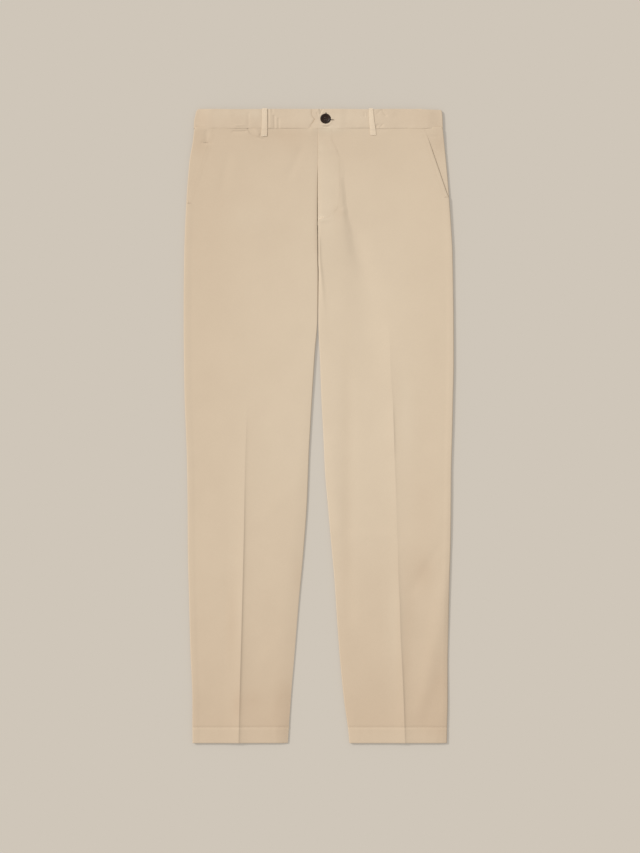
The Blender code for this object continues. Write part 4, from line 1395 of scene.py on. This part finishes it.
def sewButton():
    def onBand(x, down):
        return bandFace(x, down, True) + 0.08

    hole = [(17.5, 18.1), (24.4, 18.1), (26.0, 18.6), (26.6, 19.4), (26.0, 20.2), (24.4, 20.7),
            (17.5, 20.7)]
    addSewing("buttonhole_stitches", "waistband_left", [along(hole, onBand, 0.8)], "purl",
              "holeThread", "band_cloth")
    # thread through the four holes, three rows of dark thread in the buttonhole that paint the
    # shade of its slit, and thread ends above the button's rim
    face = button["base"] + button["face"] * button["squash"][2]
    x, down, reach = button["x"], button["down"], button["holeOffset"]
    paths = []
    for row in (down - reach, down + reach):
        paths.append([(x + reach * out, row, face + rise)
                      for out, rise in ((-1, -0.3), (-0.6, 0.15), (0.6, 0.15), (1, -0.3))])
    # dark thread rows along the buttonhole: painted shade for its slit
    paths += [along([(19.6, row), (25.4, 19.4)], onBand) for row in (19.0, 19.4, 19.8)]
    for start, tip, up in ((11.6, 11.9, 8.0), (12.3, 12.4, 7.2), (13.1, 12.9, 8.2)):
        paths.append([(start, 11.4, onBand(start, 11.4) + 0.35), (tip, up, onBand(tip, up) + 0.2)])
    addSewing("button_thread", "", paths, "wound", "buttonThread", "button")


for oneLeg in ("right", "left"):
    sewFront(oneLeg)
sewFly()
for loopName, loopSizes in frontLoops.items():
    sewFrontLoop(loopName, loopSizes)
for loopName, centre in backLoops.items():
    sewBackLoop(loopName, centre)
sewButton()
print("stitching made:", len(sewn))


# ---- riding on the root, and each piece's flat size printed

smallestCut = 0.0101
for name, entry in made.items():
    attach(entry["piece"], "root")
    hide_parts(name)
for name, entry in made.items():
    width, length, area = entry["cut"]
    width, length = max(width, smallestCut), max(length, smallestCut)
    min(area, width * length)
    print(f"{name}: flat {width * 1000:.0f} x {length * 1000:.0f} mm, {area * 1e4:.0f} cm2")
for entry in sewn.values():
    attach(entry["piece"], "root")
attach(buttonPiece, "root")
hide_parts("button")


# ---- floor, light and camera

studio = {
    "floorSize": 9.0, "floorHeight": -0.0003,
    "sunStrength": 2.74, "sunAngle": 12.0, "sunFrom": (-1.05, 0.73, 1.06),
    "fill": 0.70, "fillColour": (1.0, 1.0, 1.0),
    "lens": 85.0, "sensor": 36.0, "viewHeight": 1.4262, "centre": (0.0025, -0.0011), "far": 50.0,
}


def addFloor():
    half = studio["floorSize"] / 2
    mesh = bpy.data.meshes.new("floor")
    corners = [(-half, -half), (half, -half), (half, half), (-half, half)]
    mesh.from_pydata([(x, y, studio["floorHeight"]) for x, y in corners], [], [(0, 1, 2, 3)])
    floor = addObject("floor", mesh)
    floor.data.materials.append(floorFinish("pale paper", colours["floor"]))


def addLight():
    sun = bpy.data.lights.new("window light", "SUN")
    sun.energy = studio["sunStrength"]
    sun.angle = math.radians(studio["sunAngle"])
    lamp = addObject("window light", sun)
    lamp.rotation_mode = "QUATERNION"
    lamp.rotation_quaternion = Vector(studio["sunFrom"]).to_track_quat("Z", "Y")
    scene.world = bpy.data.worlds.new("studio")
    scene.world.use_nodes = True
    sky = scene.world.node_tree.nodes["Background"]
    sky.inputs["Color"].default_value = (*studio["fillColour"], 1.0)
    sky.inputs["Strength"].default_value = studio["fill"]


def addCamera():
    lens = bpy.data.cameras.new("camera")
    lens.lens = studio["lens"]
    lens.sensor_width = studio["sensor"]
    lens.clip_end = studio["far"]
    scene.camera = addObject("camera", lens)
    height = studio["viewHeight"] * studio["lens"] / studio["sensor"]
    scene.camera.location = (*studio["centre"], height)


addFloor()
addLight()
addCamera()
scene.view_settings.view_transform = "Standard"
scene.view_settings.look = "None"
scene.view_settings.exposure = 0.0
scene.view_settings.gamma = 1.0
